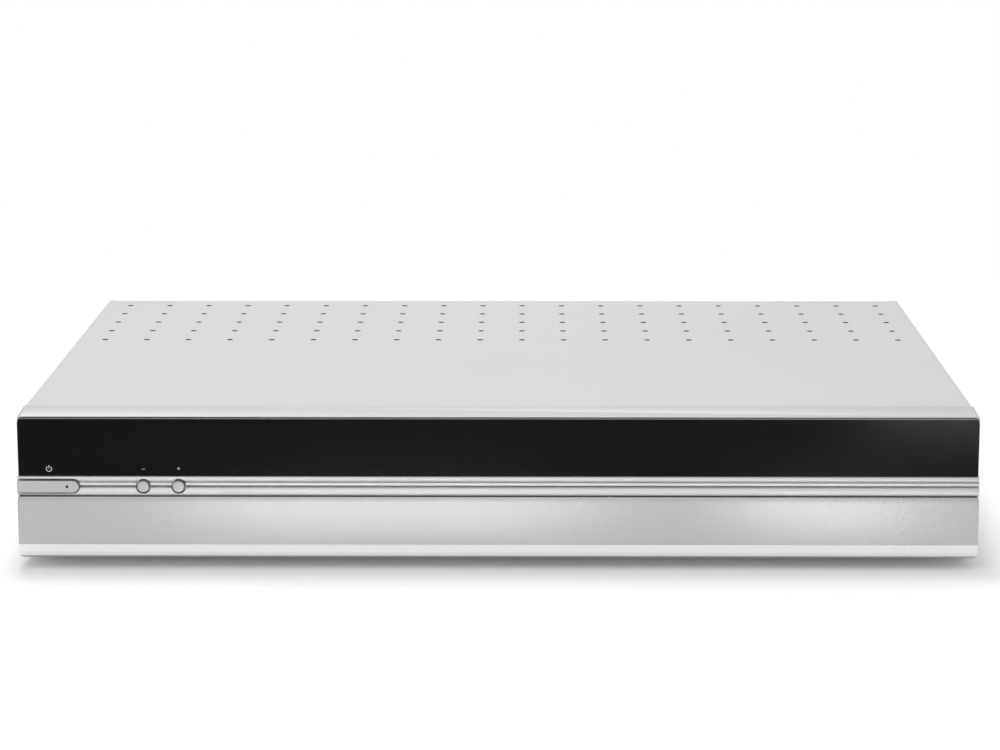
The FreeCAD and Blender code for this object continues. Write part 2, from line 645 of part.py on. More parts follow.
def top_cover():
    """Bent steel cover: a top with punched vents, two sides and a rear lip. The round vents are
    drawn four-sided, with the area that each has on the set, because there are a hundred of them."""
    half, bend = COVER_HALF_WIDTH, COVER_BEND
    front, back = FASCIA_DEPTH + GAP, BODY_DEPTH
    outer = front_profile(
        front, back,
        (-half, TRAY_FLOOR), (half, TRAY_FLOOR), (half, COVER_TOP - bend),
        arc_corner(half - bend, COVER_TOP - bend, bend, 0),
        (-half + bend, COVER_TOP),
        arc_corner(-half + bend, COVER_TOP - bend, bend, 90),
    )
    inner_half, inner_top, inner_bend = half - COVER_SHEET, COVER_TOP - COVER_SHEET, bend - COVER_SHEET
    inner = front_profile(
        front - 1, back + 1,
        (-inner_half, 0), (inner_half, 0), (inner_half, inner_top - inner_bend),
        arc_corner(inner_half - inner_bend, inner_top - inner_bend, inner_bend, 0),
        (-inner_half + inner_bend, inner_top),
        arc_corner(-inner_half + inner_bend, inner_top - inner_bend, inner_bend, 90),
    )
    lip = box(-inner_half + 0.6, inner_half - 0.6, back - COVER_SHEET, back, COVER_LIP_FOOT, inner_top + 0.1)
    sheet = joined([outer.cut(inner), lip])
    vent_corner = VENT_RADIUS * math.sqrt(math.pi / 2)
    vents = []
    for row in range(VENT_ROWS):
        for column in range(VENT_COLUMNS):
            x = (column - (VENT_COLUMNS - 1) / 2) * VENT_PITCH_X
            spot = Vector(x, VENT_REAR_Y - row * VENT_PITCH_Y, COVER_TOP - 2)
            vents.append(many_sided(VENT_SIDES, vent_corner, spot, Vector(0, 0, 4)))
    return sheet.cut(vents + screw_holes(cover_fixings(), LOOSE_FIT))


def chassis_tray():
    """The steel tray: floor, front bulkhead with a folded top, low sides and a rear upstand."""
    half = COVER_HALF_WIDTH - COVER_SHEET - 0.3
    back = REAR_PANEL_FRONT - 0.1
    pieces = [
        box(-half, half, BULKHEAD_FRONT, back, TRAY_FLOOR, TRAY_TOP),
        box(-half + 2, half - 2, BULKHEAD_FRONT, BULKHEAD_BACK, TRAY_FLOOR, BULKHEAD_TOP),
        box(-half + 2, half - 2, BULKHEAD_FRONT, BULKHEAD_FRONT + BULKHEAD_FOLD,
            BULKHEAD_TOP - CHASSIS_SHEET, BULKHEAD_TOP),
        box(-half + 2, half - 2, back - CHASSIS_SHEET, back, TRAY_FLOOR, TRAY_REAR_TOP),
    ]
    for side in (-1, 1):
        x0, x1 = sorted((side * half, side * (half - CHASSIS_SHEET)))
        pieces.append(box(x0, x1, BULKHEAD_FRONT, back, TRAY_FLOOR, TRAY_SIDE_TOP))
    cuts = screw_holes(foot_fixings() + rear_panel_fixings(), THREAD_FIT)
    y0, y1 = BULKHEAD_FRONT - 1, BULKHEAD_BACK + 1
    for x in HOOK_X:
        cuts.append(box(x - 5.5, x + 5.5, y0, y1, HOOK_HIGH_Z - 0.4, HOOK_HIGH_Z + 2.1))
        cuts.append(box(x - 5.5, x + 5.5, y0, y1, HOOK_LOW_Z - 2.1, HOOK_LOW_Z + 0.4))
    cuts.append(box(RIBBON_X[0] - 2, RIBBON_X[1] + 2, y0, y1, RIBBON_Z - 4, RIBBON_Z + 4))
    for spots, ends in ((DRIVE_SLOT_X, DRIVE_SLOT_Y), (BOARD_SLOT_X, BOARD_SLOT_Y)):
        cuts += [box(x, x + SLOT_WIDTH, *ends, TRAY_FLOOR - 1, TRAY_TOP + 1) for x in spots]
    return joined(pieces).cut(cuts)


def panel_openings():
    """The holes punched in the rear panel for its sockets, as solids."""
    y0, y1 = REAR_PANEL_FRONT - 1, REAR_PANEL_BACK + 1
    edge = 0.3
    openings = [faceted_rod(8, AERIAL_ROOT_RADIUS + edge, y0, y1, x, AERIAL_Z) for x in AERIAL_X]
    openings += [faceted_rod(8, PHONO_RADIUS + 0.8, y0, y1, PHONO_X, z) for z in PHONO_Z]
    openings += [scart_collar(z, edge, y0, y1) for z in SCART_Z]
    openings.append(box(OPTICAL_X - 5.0, OPTICAL_X + 5.0, y0, y1, BOARD_TOP - edge, OPTICAL_Z + 5.2))
    openings.append(serial_shell(edge, y0, y1))
    openings.append(box(PHONE_X - 7.0, PHONE_X + 7.0, y0, y1, BOARD_TOP - edge, PHONE_Z + 7.2))
    openings.append(box(CARD_X - 28.5, CARD_X + 28.5, y0, y1, CARD_Z - 1.4, CARD_Z + 1.4))
    openings.append(inlet_body(edge, y0, y1))
    return openings


def fan_grille():
    """Upright slots over the fan, trimmed to a round field."""
    slots = []
    for i in range(-4, 5):
        across = i * GRILLE_PITCH
        reach = math.sqrt(GRILLE_RADIUS ** 2 - across ** 2)
        left = FAN_X + across - SLOT_WIDTH / 2
        slots.append(box(left, left + SLOT_WIDTH, REAR_PANEL_FRONT - 1, REAR_PANEL_BACK + 1,
                         FAN_Z - reach, FAN_Z + reach))
    return slots


def rear_panel():
    """The steel rear panel, pierced for the sockets and the fan, with folded top and sides."""
    half = COVER_HALF_WIDTH - COVER_SHEET - 0.5
    top = COVER_TOP - COVER_SHEET - GAP
    pieces = [
        box(-half, half, REAR_PANEL_FRONT, REAR_PANEL_BACK, TRAY_FLOOR + GAP, top),
        box(-half, half, REAR_PANEL_BACK - 10, REAR_PANEL_BACK, top - CHASSIS_SHEET, top),
    ]
    for side in (-1, 1):
        x0, x1 = sorted((side * half, side * (half - CHASSIS_SHEET)))
        pieces.append(box(x0, x1, REAR_PANEL_BACK - 8, REAR_PANEL_BACK, 18.0, top))
    reach = SLOT_WIDTH / 2
    vents = [box(x - reach, x + reach, REAR_PANEL_FRONT - 1, REAR_PANEL_BACK + 1, *REAR_SLOT_Z)
             for x in REAR_SLOT_X]
    cuts = panel_openings() + fan_grille() + vents
    cuts += screw_holes(cover_fixings(), THREAD_FIT)
    cuts += screw_holes(rear_panel_fixings() + fan_fixings() + serial_fixings(), LOOSE_FIT)
    return joined(pieces).cut(cuts)


def rubber_feet():
    """Four soft feet, each hollowed underneath for its screw."""
    feet = []
    for x, y in FOOT_SPOTS:
        top = FOOT_HEIGHT - SEAT_GAP
        foot = faceted_post(12, FOOT_RADIUS, 0, top, x, y)
        well = faceted_post(8, FOOT_WELL_RADIUS, -1, FOOT_WELL_DEPTH, x, y)
        feet.append(foot.cut([well, faceted_post(6, SCREW_RADIUS + LOOSE_FIT, 0, top + 1, x, y)]))
    return group(feet)


# Main board

def standoff_fixings(spots):
    """Screws down through a board into its standoffs."""
    return [(Vector(x, y, BOARD_TOP), (0, 0, -1), 5.5) for x, y in spots]


def board_standoffs():
    """Six-sided posts swaged into the tray under the two boards."""
    spots = MAIN_STANDOFFS + POWER_STANDOFFS
    posts = []
    holes = screw_holes(standoff_fixings(spots), THREAD_FIT)
    for (x, y), hole in zip(spots, holes):
        posts.append(many_sided(6, 3.2, Vector(x, y, TRAY_TOP), Vector(0, 0, STANDOFF_HEIGHT)).cut(hole))
    return group(posts)


def main_board():
    """The L-shaped main board."""
    shape = plan_profile(
        BOARD_UNDERSIDE, BOARD_TOP,
        (MAIN_LEFT, MAIN_FRONT), (WING_LEFT, MAIN_FRONT), (WING_LEFT, WING_FRONT), (MAIN_RIGHT, WING_FRONT),
        (MAIN_RIGHT, BOARD_BACK), (MAIN_LEFT, BOARD_BACK),
    )
    return shape.cut(screw_holes(standoff_fixings(MAIN_STANDOFFS), LOOSE_FIT))


def main_board_chips():
    """Flat chips on the main board: the processor under its heat sink, memory and decoders."""
    px, py = PROCESSOR
    spots = [
        (px, py, 17.0, 17.0, 2.2), (100, 128, 6, 11, 1.2), (100, 156, 6, 11, 1.2), (188, 140, 7, 10, 1.2),
        (140, 208, 10, 10, 1.6), (176, 208, 8, 8, 1.6), (30, 222, 12, 12, 1.8), (-20, 212, 7, 9, 1.4),
        (88, 236, 7, 7, 1.4), (-46, 236, 5, 9, 1.4),
    ]
    return group([box(x - a, x + a, y - b, y + b, BOARD_TOP, BOARD_TOP + h) for x, y, a, b, h in spots])


def processor_heat_sink():
    """A finned block on the main processor."""
    px, py = PROCESSOR
    z = BOARD_TOP + 2.25
    pieces = [box(px - 20, px + 20, py - 20, py + 20, z, z + 3)]
    for i in range(9):
        x = px - 19.2 + i * 4.8
        pieces.append(box(x - 0.8, x + 0.8, py - 20, py + 20, z + 2.5, z + 19))
    return joined(pieces)


def main_board_capacitors():
    """Upright smoothing capacitors on the main board."""
    spots = ((112, 190), (122, 190), (160, 112), (172, 112), (60, 214), (-4, 240), (8, 240))
    return group([faceted_post(8, 4.0, BOARD_TOP, BOARD_TOP + 12, x, y) for x, y in spots])


def board_plugs():
    """Upright headers on the main and power boards for the cables between them, the drive and the front."""
    drive = box(DRIVE_LEFT + 8, DRIVE_LEFT + 60, 194, 202, BOARD_TOP, BOARD_TOP + 9)
    power = box(-60, -52, 208, 230, BOARD_TOP, BOARD_TOP + 8)
    front = box(RIBBON_X[0] - 1, RIBBON_X[1] + 1, WING_FRONT + 12, WING_FRONT + 18, BOARD_TOP, BOARD_TOP + 8)
    supply = box(-146, -138, 150, 178, BOARD_TOP, BOARD_TOP + 8)
    return group([drive, power, front, supply])


def tuner_cans():
    """Two shielded tuners, each a can with its folded lid, behind a pair of dish sockets."""
    cans = []
    for x in ((AERIAL_X[0] + AERIAL_X[1]) / 2, (AERIAL_X[2] + AERIAL_X[3]) / 2):
        can = box(x - 19, x + 19, 238, REAR_PANEL_FRONT - 2.1, BOARD_TOP, BOARD_TOP + 22)
        lid = box(x - 19.6, x + 19.6, 237.4, REAR_PANEL_FRONT - 2.0, BOARD_TOP + 18, BOARD_TOP + 22.6)
        cans.append(joined([can, lid]))
    return group(cans)


def aerial_sockets():
    """Four barrels for the dish cables. Each has a six-sided shoulder, a narrower root for its nut,
    the full round that a plug screws on to, and a centre hole."""
    shoulder = REAR_PANEL_FRONT - 0.1
    sockets = []
    for x in AERIAL_X:
        base = faceted_rod(6, 6.0, REAR_PANEL_FRONT - 2.0, shoulder, x, AERIAL_Z)
        root = faceted_rod(8, AERIAL_ROOT_RADIUS, shoulder - 0.5, SOCKET_END - 2, x, AERIAL_Z)
        barrel = rod(AERIAL_RADIUS, SOCKET_END - AERIAL_THREAD, SOCKET_END, x, AERIAL_Z)
        hole = faceted_rod(6, 0.8, SOCKET_END - 6, SOCKET_END + 1, x, AERIAL_Z)
        sockets.append(joined([base, root, barrel]).cut(hole))
    return group(sockets)


def aerial_nuts():
    """Six-sided nuts that hold the dish sockets to the rear panel."""
    nuts = []
    seat = REAR_PANEL_BACK + 0.02
    for x in AERIAL_X:
        nut = faceted_rod(6, 6.0, seat, seat + AERIAL_NUT, x, AERIAL_Z)
        bore = faceted_rod(8, AERIAL_ROOT_RADIUS + 0.02, seat - 1, seat + AERIAL_NUT + 1, x, AERIAL_Z)
        nuts.append(nut.cut(bore))
    return group(nuts)


def scart_collar(z, edge, y0, y1):
    """The outline of one 21-way socket: a long block with two cut corners, grown by edge."""
    wide, tall, cut = 23.4 + edge, 7.6 + edge, 3.0
    return front_profile(
        y0, y1,
        (SCART_X - wide, z - tall), (SCART_X + wide, z - tall), (SCART_X + wide, z + tall - cut),
        (SCART_X + wide - cut, z + tall), (SCART_X - wide + cut, z + tall), (SCART_X - wide, z + tall - cut),
    )


def scart_sockets():
    """Two 21-way sockets one above the other, each with a slot round a block of contact slits."""
    back = REAR_PANEL_BACK + 1.0
    pieces = [box(SCART_X - 24.5, SCART_X + 24.5, 272, REAR_PANEL_FRONT - 0.2, BOARD_TOP, SCART_Z[1] + 9)]
    cuts = []
    for z in SCART_Z:
        pieces.append(scart_collar(z, 0, REAR_PANEL_FRONT - 1, back))
        ring = scart_collar(z, -1.8, back - 11, back + 1)
        cuts.append(ring.cut(scart_collar(z, -3.0, back - 12, back + 2)))
        for i in range(5):
            x = SCART_X + (i - 2) * 7.2
            for dz in (-2.6, 2.0):
                cuts.append(box(x - 0.5, x + 0.5, back - 4, back + 1, z + dz - 1.3, z + dz + 1.3))
    return joined(pieces).cut(cuts)


def phono_sockets():
    """A pair of phono sockets, one above the other in a moulded block."""
    back = REAR_PANEL_BACK
    block = box(PHONO_X - 8, PHONO_X + 8, 284, REAR_PANEL_FRONT - 0.2, BOARD_TOP, PHONO_Z[1] + 8)
    pieces, cuts = [block], []
    for z in PHONO_Z:
        pieces.append(faceted_rod(8, PHONO_RADIUS + 0.5, REAR_PANEL_FRONT - 1, back + 1.6, PHONO_X, z))
        pieces.append(rod(PHONO_RADIUS, back + 1.0, back + 9.0, PHONO_X, z))
        cuts.append(faceted_rod(6, 1.7, back + 1, back + 10, PHONO_X, z))
    return joined(pieces).cut(cuts)


def optical_socket():
    """The optical sound outlet: a small square port with a cut corner and a closed shutter."""
    x, z, back = OPTICAL_X, OPTICAL_Z, REAR_PANEL_BACK + 0.8
    body = box(x - 4.7, x + 4.7, 284, back, BOARD_TOP, z + 4.9)
    port = box(x - 3.2, x + 3.2, back - 1.6, back + 1, z - 3.2, z + 3.2)
    return body.cut(port)


def serial_shell(edge, y0, y1):
    """The D-shaped outline of the nine-way service port, grown by edge."""
    top, foot, tall = 8.6 + edge, 7.2 + edge, 4.2 + edge
    return front_profile(
        y0, y1,
        (SERIAL_X - foot, SERIAL_Z - tall), (SERIAL_X + foot, SERIAL_Z - tall),
        (SERIAL_X + top, SERIAL_Z + tall), (SERIAL_X - top, SERIAL_Z + tall),
    )


def serial_fixings():
    """The two screw posts either side of the service port."""
    return [(Vector(SERIAL_X + side * 12.5, REAR_PANEL_BACK, SERIAL_Z), (0, -1, 0), 5.0) for side in (-1, 1)]


def serial_socket():
    """The service port: a flange behind the panel and a metal shell round an insulating block."""
    back = REAR_PANEL_BACK + 5.8
    flange = box(SERIAL_X - 15.4, SERIAL_X + 15.4, REAR_PANEL_FRONT - 1.2, REAR_PANEL_FRONT - 0.2,
                 SERIAL_Z - 6.2, SERIAL_Z + 6.2)
    block = box(SERIAL_X - 9.6, SERIAL_X + 9.6, 286, REAR_PANEL_FRONT - 1, BOARD_TOP, SERIAL_Z + 5)
    shell = serial_shell(0, REAR_PANEL_FRONT - 1, back)
    ring = serial_shell(-0.5, back - 5.0, back + 1).cut(serial_shell(-1.3, back - 6, back + 1))
    cuts = [ring] + screw_holes(serial_fixings(), THREAD_FIT)
    for count, dz in ((5, 1.42), (4, -1.42)):
        for i in range(count):
            x = SERIAL_X + (i - (count - 1) / 2) * 2.76
            cuts.append(many_sided(4, 0.7, Vector(x, back - 4, SERIAL_Z + dz), Vector(0, 5, 0)))
    return joined([flange, block, shell]).cut(cuts)


def serial_posts():
    """Six-sided threaded posts that a plug's screws go into."""
    posts = []
    for head_face, direction, length in serial_fixings():
        head = many_sided(6, 2.9, head_face, Vector(0, 4.8, 0))
        shank = many_sided(SHANK_SIDES, SCREW_RADIUS, head_face, Vector(*direction) * length)
        hole = faceted_rod(6, 1.2, head_face.y + 1, head_face.y + 6, head_face.x, head_face.z)
        posts.append(head.fuse(shank).cut(hole).removeSplitter())
    return group(posts)


def phone_socket():
    """The telephone socket: a square block with a six-way cavity and a groove for the latch."""
    x, z, back = PHONE_X, PHONE_Z, REAR_PANEL_BACK + 0.8
    body = box(x - 6.6, x + 6.6, 283, back, BOARD_TOP, z + 6.9)
    cavity = box(x - 4.85, x + 4.85, back - 12, back + 1, z - 2.2, z + 4.5)
    latch = box(x - 3.1, x + 3.1, back - 9, back + 1, z - 4.6, z - 2.1)
    return body.cut([cavity, latch])


def card_reader():
    """A flat cage on four legs that takes a viewing card through the slot in the rear panel."""
    x0, x1, y0, y1 = CARD_X - 31, CARD_X + 31, 214, REAR_PANEL_FRONT - 0.3
    cage = box(x0, x1, y0, y1, CARD_Z - 4.5, CARD_Z + 3.5)
    slot = box(CARD_X - 27.5, CARD_X + 27.5, y0 + 4, y1 + 1, CARD_Z - 0.7, CARD_Z + 0.7)
    window = box(CARD_X - 14, CARD_X + 14, y0 + 16, y0 + 44, CARD_Z + 0.2, CARD_Z + 5)
    legs = [box(x - 2, x + 2, y - 2, y + 2, BOARD_TOP, CARD_Z - 4)
            for x in (x0 + 2, x1 - 2) for y in (y0 + 26, y0 + 62)]
    return joined([cage] + legs).cut([slot, window])


# Power supply

def power_board():
    """The power supply's own board."""
    board = box(POWER_LEFT, POWER_RIGHT, POWER_FRONT, BOARD_BACK, BOARD_UNDERSIDE, BOARD_TOP)
    return board.cut(screw_holes(standoff_fixings(POWER_STANDOFFS), LOOSE_FIT))


def insulating_sheet():
    """A thin plastic sheet that keeps the power board's solder joints off the tray."""
    sheet = box(POWER_LEFT + 1, POWER_RIGHT - 1, POWER_FRONT + 1, BOARD_BACK - 1, TRAY_TOP, TRAY_TOP + 0.4)
    holes = [many_sided(6, 3.7, Vector(x, y, TRAY_TOP - 1), Vector(0, 0, 3)) for x, y in POWER_STANDOFFS]
    holes += [faceted_post(6, 3.0, TRAY_TOP - 1, TRAY_TOP + 2, x, y) for x, y in FOOT_SPOTS[:2]]
    return sheet.cut(holes)


def inlet_body(edge, y0, y1):
    """The outline of the mains inlet, a block with four cut corners, grown by edge."""
    wide, tall, cut = 10.4 + edge, 6.8 + edge, 2.0
    corners = []
    for sx, sz in ((-1, -1), (1, -1), (1, 1), (-1, 1)):
        upright = (MAINS_X + sx * wide, MAINS_Z + sz * (tall - cut))
        level = (MAINS_X + sx * (wide - cut), MAINS_Z + sz * tall)
        corners += [upright, level] if sx * sz > 0 else [level, upright]
    return front_profile(y0, y1, corners[0], *corners[1:])


def mains_inlet():
    """The two-pin mains inlet: a block with a figure-of-eight cavity and two pins."""
    back = REAR_PANEL_BACK + 1.4
    body = inlet_body(0, 280, back)
    foot = box(MAINS_X - 10.4, MAINS_X + 10.4, 280, 295, BOARD_TOP, MAINS_Z)
    cavity = [faceted_rod(16, 4.1, back - 11, back + 1, MAINS_X + side * 4.1, MAINS_Z) for side in (-1, 1)]
    cavity.append(box(MAINS_X - 4, MAINS_X + 4, back - 11, back + 1, MAINS_Z - 3.3, MAINS_Z + 3.3))
    pins = [faceted_rod(8, 1.2, back - 12, back - 2, MAINS_X + side * 4.3, MAINS_Z) for side in (-1, 1)]
    return joined([joined([body, foot]).cut(cavity)] + pins)


def transformer():
    """The switching transformer: a winding between the two halves of its core."""
    x, y, z = -174.0, 196.0, BOARD_TOP
    bobbin = box(x - 15, x + 15, y - 13, y + 13, z, z + 5)
    winding = box(x - 12, x + 12, y - 14.5, y + 14.5, z + 4, z + 24)
    core = box(x - 17, x + 17, y - 8, y + 8, z + 3, z + 27)
    return joined([bobbin, winding, core])


def power_capacitors():
    """The large mains capacitor and four smaller ones on the output side."""
    cans = [faceted_post(16, 12.0, BOARD_TOP, BOARD_TOP + 34, -190, 226)]
    cans += [faceted_post(8, 5.0, BOARD_TOP, BOARD_TOP + 20, x, 140) for x in (-196, -183, -170, -157)]
    return group(cans)


def power_filter():
    """The mains filter: a wound choke, a film capacitor and the fuse in its holder."""
    choke = faceted_post(12, 9.0, BOARD_TOP, BOARD_TOP + 12, -152, 268)
    film = box(-203, -190, 254, 272, BOARD_TOP, BOARD_TOP + 14)
    fuse = box(-182, -160, 262, 269, BOARD_TOP, BOARD_TOP + 9)
    return group([choke, film, fuse])


def power_heat_sinks():
    """Two finned plates, one for the mains side and one for the outputs."""
    sinks = []
    for x, y in ((-152.0, 206.0), (-204.0, 180.0)):
        pieces = [box(x - 1, x + 1, y - 18, y + 18, BOARD_TOP, BOARD_TOP + 36)]
        for i in range(5):
            pieces.append(box(x, x + 8, y - 17 + i * 8, y - 15.4 + i * 8, BOARD_TOP + 8, BOARD_TOP + 36))
        sinks.append(joined(pieces))
    return group(sinks)


# Fan

def fan_frame():
    """The fan's square frame, with four struts that carry the motor's seat and a fixed shaft."""
    half, y0, y1 = FAN_SIDE / 2, REAR_PANEL_FRONT - 0.1 - FAN_DEPTH, REAR_PANEL_FRONT - 0.1
    body = box(FAN_X - half, FAN_X + half, y0, y1, FAN_Z - half, FAN_Z + half)
    body = body.cut(faceted_rod(20, FAN_BORE, y0 - 1, y1 + 1, FAN_X, FAN_Z))
    pieces = [body, faceted_rod(12, FAN_HUB_RADIUS, y0, y0 + 2.4, FAN_X, FAN_Z)]
    pieces += [box(FAN_X - half + 1, FAN_X + half - 1, y0, y0 + 2, FAN_Z - 1.6, FAN_Z + 1.6)]
    pieces += [box(FAN_X - 1.6, FAN_X + 1.6, y0, y0 + 2, FAN_Z - half + 1, FAN_Z + half - 1)]
    pieces.append(rod(1.5, y0 + 1, y0 + 10, FAN_X, FAN_Z))
    return joined(pieces).cut(screw_holes(fan_fixings(), THREAD_FIT))


def fan_blade(turn):
    """One flat slanted blade that widens from its root inside the hub to its tip near the bore."""
    tilt = math.radians(BLADE_TILT)
    out = Vector(math.cos(turn), 0, math.sin(turn))
    along = Vector(-math.sin(turn), 0, math.cos(turn)) * math.cos(tilt) + Vector(0, 1, 0) * math.sin(tilt)
    across = out.cross(along).normalize() * BLADE_SHEET
    middle = Vector(FAN_X, REAR_PANEL_FRONT - 6.2, FAN_Z) - across * 0.5
    (root, root_chord), (tip, tip_chord) = BLADE_ROOT, BLADE_TIP
    corners = [middle + out * radius + along * (chord / 2) for radius, chord in
               ((root, -root_chord), (tip, -tip_chord), (tip, tip_chord), (root, root_chord))]
    return Part.Face(Part.makePolygon(corners + [corners[0]])).extrude(across)


def fan_rotor():
    """The fan's hub with its blades, free to turn on the shaft."""
    y0, y1 = REAR_PANEL_FRONT - FAN_DEPTH + 2.8, REAR_PANEL_FRONT - 1.2
    hub = faceted_rod(16, FAN_HUB_RADIUS, y0, y1, FAN_X, FAN_Z)
    bore = rod(1.5 + RUNNING_FIT, y0 - 1, y0 + 8, FAN_X, FAN_Z)
    blades = [fan_blade(2 * math.pi * i / FAN_BLADES) for i in range(FAN_BLADES)]
    return joined([hub] + blades).cut(bore)


# Disk drive

def drive_fixings():
    """Screws through the bracket's sides into the drive."""
    fixings = []
    for side, face in ((-1, DRIVE_LEFT), (1, DRIVE_RIGHT)):
        seat = face + side * (BRACKET_CLEARANCE + BRACKET_SHEET + 1.2)
        fixings += [(Vector(seat, y, DRIVE_SCREW_Z), (-side, 0, 0), 9.0) for y in DRIVE_SCREW_Y]
    return fixings


def drive_lid_fixings():
    """Screws that hold the drive's lid down."""
    return [(Vector(x, y, DRIVE_TOP), (0, 0, -1), 3.0)
            for x in (DRIVE_LEFT + 4, DRIVE_RIGHT - 4) for y in (DRIVE_FRONT + 4, DRIVE_BACK - 4)]


def hard_drive_body():
    """The drive's cast case, hollowed for the disk and for the arm that reads it."""
    case = box(DRIVE_LEFT, DRIVE_RIGHT, DRIVE_FRONT, DRIVE_BACK, DRIVE_BODY_Z, DRIVE_COVER_Z)
    well = faceted_post(24, PLATTER_RADIUS + 0.8, 20.0, DRIVE_COVER_Z + 1, SPINDLE_X, SPINDLE_Y)
    bay = box(DRIVE_LEFT + 8, DRIVE_RIGHT - 8, SPINDLE_Y + 20, DRIVE_BACK - 14, 20.0, DRIVE_COVER_Z + 1)
    spindle = post(4.0, 19.5, 26.0, SPINDLE_X, SPINDLE_Y)
    pivot = post(3.0, 19.5, 34.0, ARM_PIVOT_X, ARM_PIVOT_Y)
    body = joined([case.cut([well, bay]), spindle, pivot])
    return body.cut(screw_holes(drive_fixings() + drive_lid_fixings(), THREAD_FIT))


def hard_drive_lid():
    """The drive's pressed lid."""
    lid = box(DRIVE_LEFT, DRIVE_RIGHT, DRIVE_FRONT, DRIVE_BACK, DRIVE_COVER_Z + 0.02, DRIVE_TOP)
    return lid.cut(screw_holes(drive_lid_fixings(), LOOSE_FIT))


def hard_drive_platter():
    """The disk, clamped on its hub, which turns on the spindle."""
    hub = faceted_post(12, SPINDLE_RADIUS, 20.4, 33.0, SPINDLE_X, SPINDLE_Y)
    disk = many_sided(28, PLATTER_RADIUS, Vector(SPINDLE_X, SPINDLE_Y, PLATTER_Z), Vector(0, 0, PLATTER_SHEET))
    return joined([hub, disk]).cut(post(4.0 + RUNNING_FIT, 19, 26.4, SPINDLE_X, SPINDLE_Y))


def hard_drive_arm():
    """The arm that carries the heads over and under the disk, with its coil at the other end."""
    turn = math.radians(ARM_REST_ANGLE)

    def place(along, across, z):
        x = ARM_PIVOT_X + along * math.cos(turn) - across * math.sin(turn)
        y = ARM_PIVOT_Y + along * math.sin(turn) + across * math.cos(turn)
        return Vector(x, y, z)

    def plate(z0, z1, *corners):
        face = outline(lambda a, b: place(a, b, z0), *corners)
        return face.extrude(Vector(0, 0, z1 - z0))

    pieces = [faceted_post(10, 5.2, 24.0, 36.0, ARM_PIVOT_X, ARM_PIVOT_Y)]
    for z in (PLATTER_Z - 2.0, PLATTER_Z + PLATTER_SHEET + 1.0):
        pieces.append(plate(z, z + 1.0, (0, -5), (ARM_LENGTH, -1.4), (ARM_LENGTH, 1.4), (0, 5)))
    pieces.append(plate(27.5, 31.5, (0, -6), (0, 6), (-20, 12), (-24, 0), (-20, -12)))
    return joined(pieces).cut(post(3.0 + RUNNING_FIT, 20, 37, ARM_PIVOT_X, ARM_PIVOT_Y))


def hard_drive_magnet():
    """The magnet under the arm's coil."""
    x, y = ARM_PIVOT_X + 13, ARM_PIVOT_Y + 18
    return box(x - 16, x + 13, y - 9, y + 11, 20.02, 26.5)


def hard_drive_board():
    """The drive's own board under its case, with the two plugs at the rear."""
    board = box(DRIVE_LEFT + 3, DRIVE_RIGHT - 3, DRIVE_FRONT + 52, DRIVE_BACK, DRIVE_BOARD_Z,
                DRIVE_BODY_Z - 0.02)
    chips = [box(x - a, x + a, y - a, y + a, DRIVE_BOARD_Z - 1.4, DRIVE_BOARD_Z + 0.2)
             for x, y, a in ((-10, 130, 8), (20, 150, 6), (35, 120, 5))]
    plugs = [box(DRIVE_LEFT + x0, DRIVE_LEFT + x1, DRIVE_BACK, DRIVE_BACK + 5.5, DRIVE_BOARD_Z - 4,
                 DRIVE_BOARD_Z + 1.5) for x0, x1 in ((8, 60), (72, 94))]
    return joined([board] + chips + plugs)


def drive_bracket():
    """A bent steel cradle spot-welded to the tray, with two sides that hold the drive."""
    pieces = [box(DRIVE_LEFT - 14, DRIVE_RIGHT + 14, 40, 172, TRAY_TOP, TRAY_TOP + BRACKET_SHEET)]
    for side, face in ((-1, DRIVE_LEFT), (1, DRIVE_RIGHT)):
        near = face + side * BRACKET_CLEARANCE
        x0, x1 = sorted((near, near + side * BRACKET_SHEET))
        pieces.append(box(x0, x1, 40, 172, TRAY_TOP, 28.0))
    cuts = [grommet_hole(x) for x in grommet_seats()]
    cuts.append(box(-26, 48, 60, 150, TRAY_TOP - 1, TRAY_TOP + 2))
    return joined(pieces).cut(cuts)


def grommet_seats():
    """The middle of each grommet in the bracket's sides."""
    seats = []
    for side, face in ((-1, DRIVE_LEFT), (1, DRIVE_RIGHT)):
        x = face + side * (BRACKET_CLEARANCE + BRACKET_SHEET / 2)
        seats += [Vector(x, y, DRIVE_SCREW_Z) for y in DRIVE_SCREW_Y]
    return seats


def grommet_hole(seat):
    """The hole that a grommet's neck sits in."""
    return many_sided(GROMMET_SIDES, 3.45, seat - Vector(2, 0, 0), Vector(4, 0, 0))


def drive_grommets():
    """Rubber rings that keep the drive's hum out of the case."""
    rings = []
    neck = BRACKET_SHEET / 2 + 0.05
    for seat in grommet_seats():
        side = 1 if seat.x > SPINDLE_X else -1
        near = seat - Vector(side * (BRACKET_SHEET / 2 + BRACKET_CLEARANCE - 0.05), 0, 0)
        far = seat + Vector(side * (BRACKET_SHEET / 2 + 1.15), 0, 0)
        past_sheet = Vector(side * neck, 0, 0)
        ring = many_sided(GROMMET_SIDES, 3.4, near, far - near)
        inner = many_sided(GROMMET_SIDES, 5.2, near, seat - near - past_sheet)
        outer = many_sided(GROMMET_SIDES, 5.2, seat + past_sheet, far - seat - past_sheet)
        bore = many_sided(SHANK_SIDES, 1.95, seat - Vector(10, 0, 0), Vector(20, 0, 0))
        rings.append(joined([ring, inner, outer]).cut(bore))
    return group(rings)


# Cables

def front_ribbon():
    """The flat cable from the front board back to the main board."""
    x0, x1 = RIBBON_X
    path = [(BULKHEAD_FRONT - 0.5, RIBBON_Z), (45, RIBBON_Z), (96, RIBBON_Z + 6),
            (WING_FRONT + 14, RIBBON_Z + 4), (WING_FRONT + 15, BOARD_TOP + 8.1)]
    return strip(lambda y, z: Vector(x0, y, z), path, 1.0, Vector(x1 - x0, 0, 0))


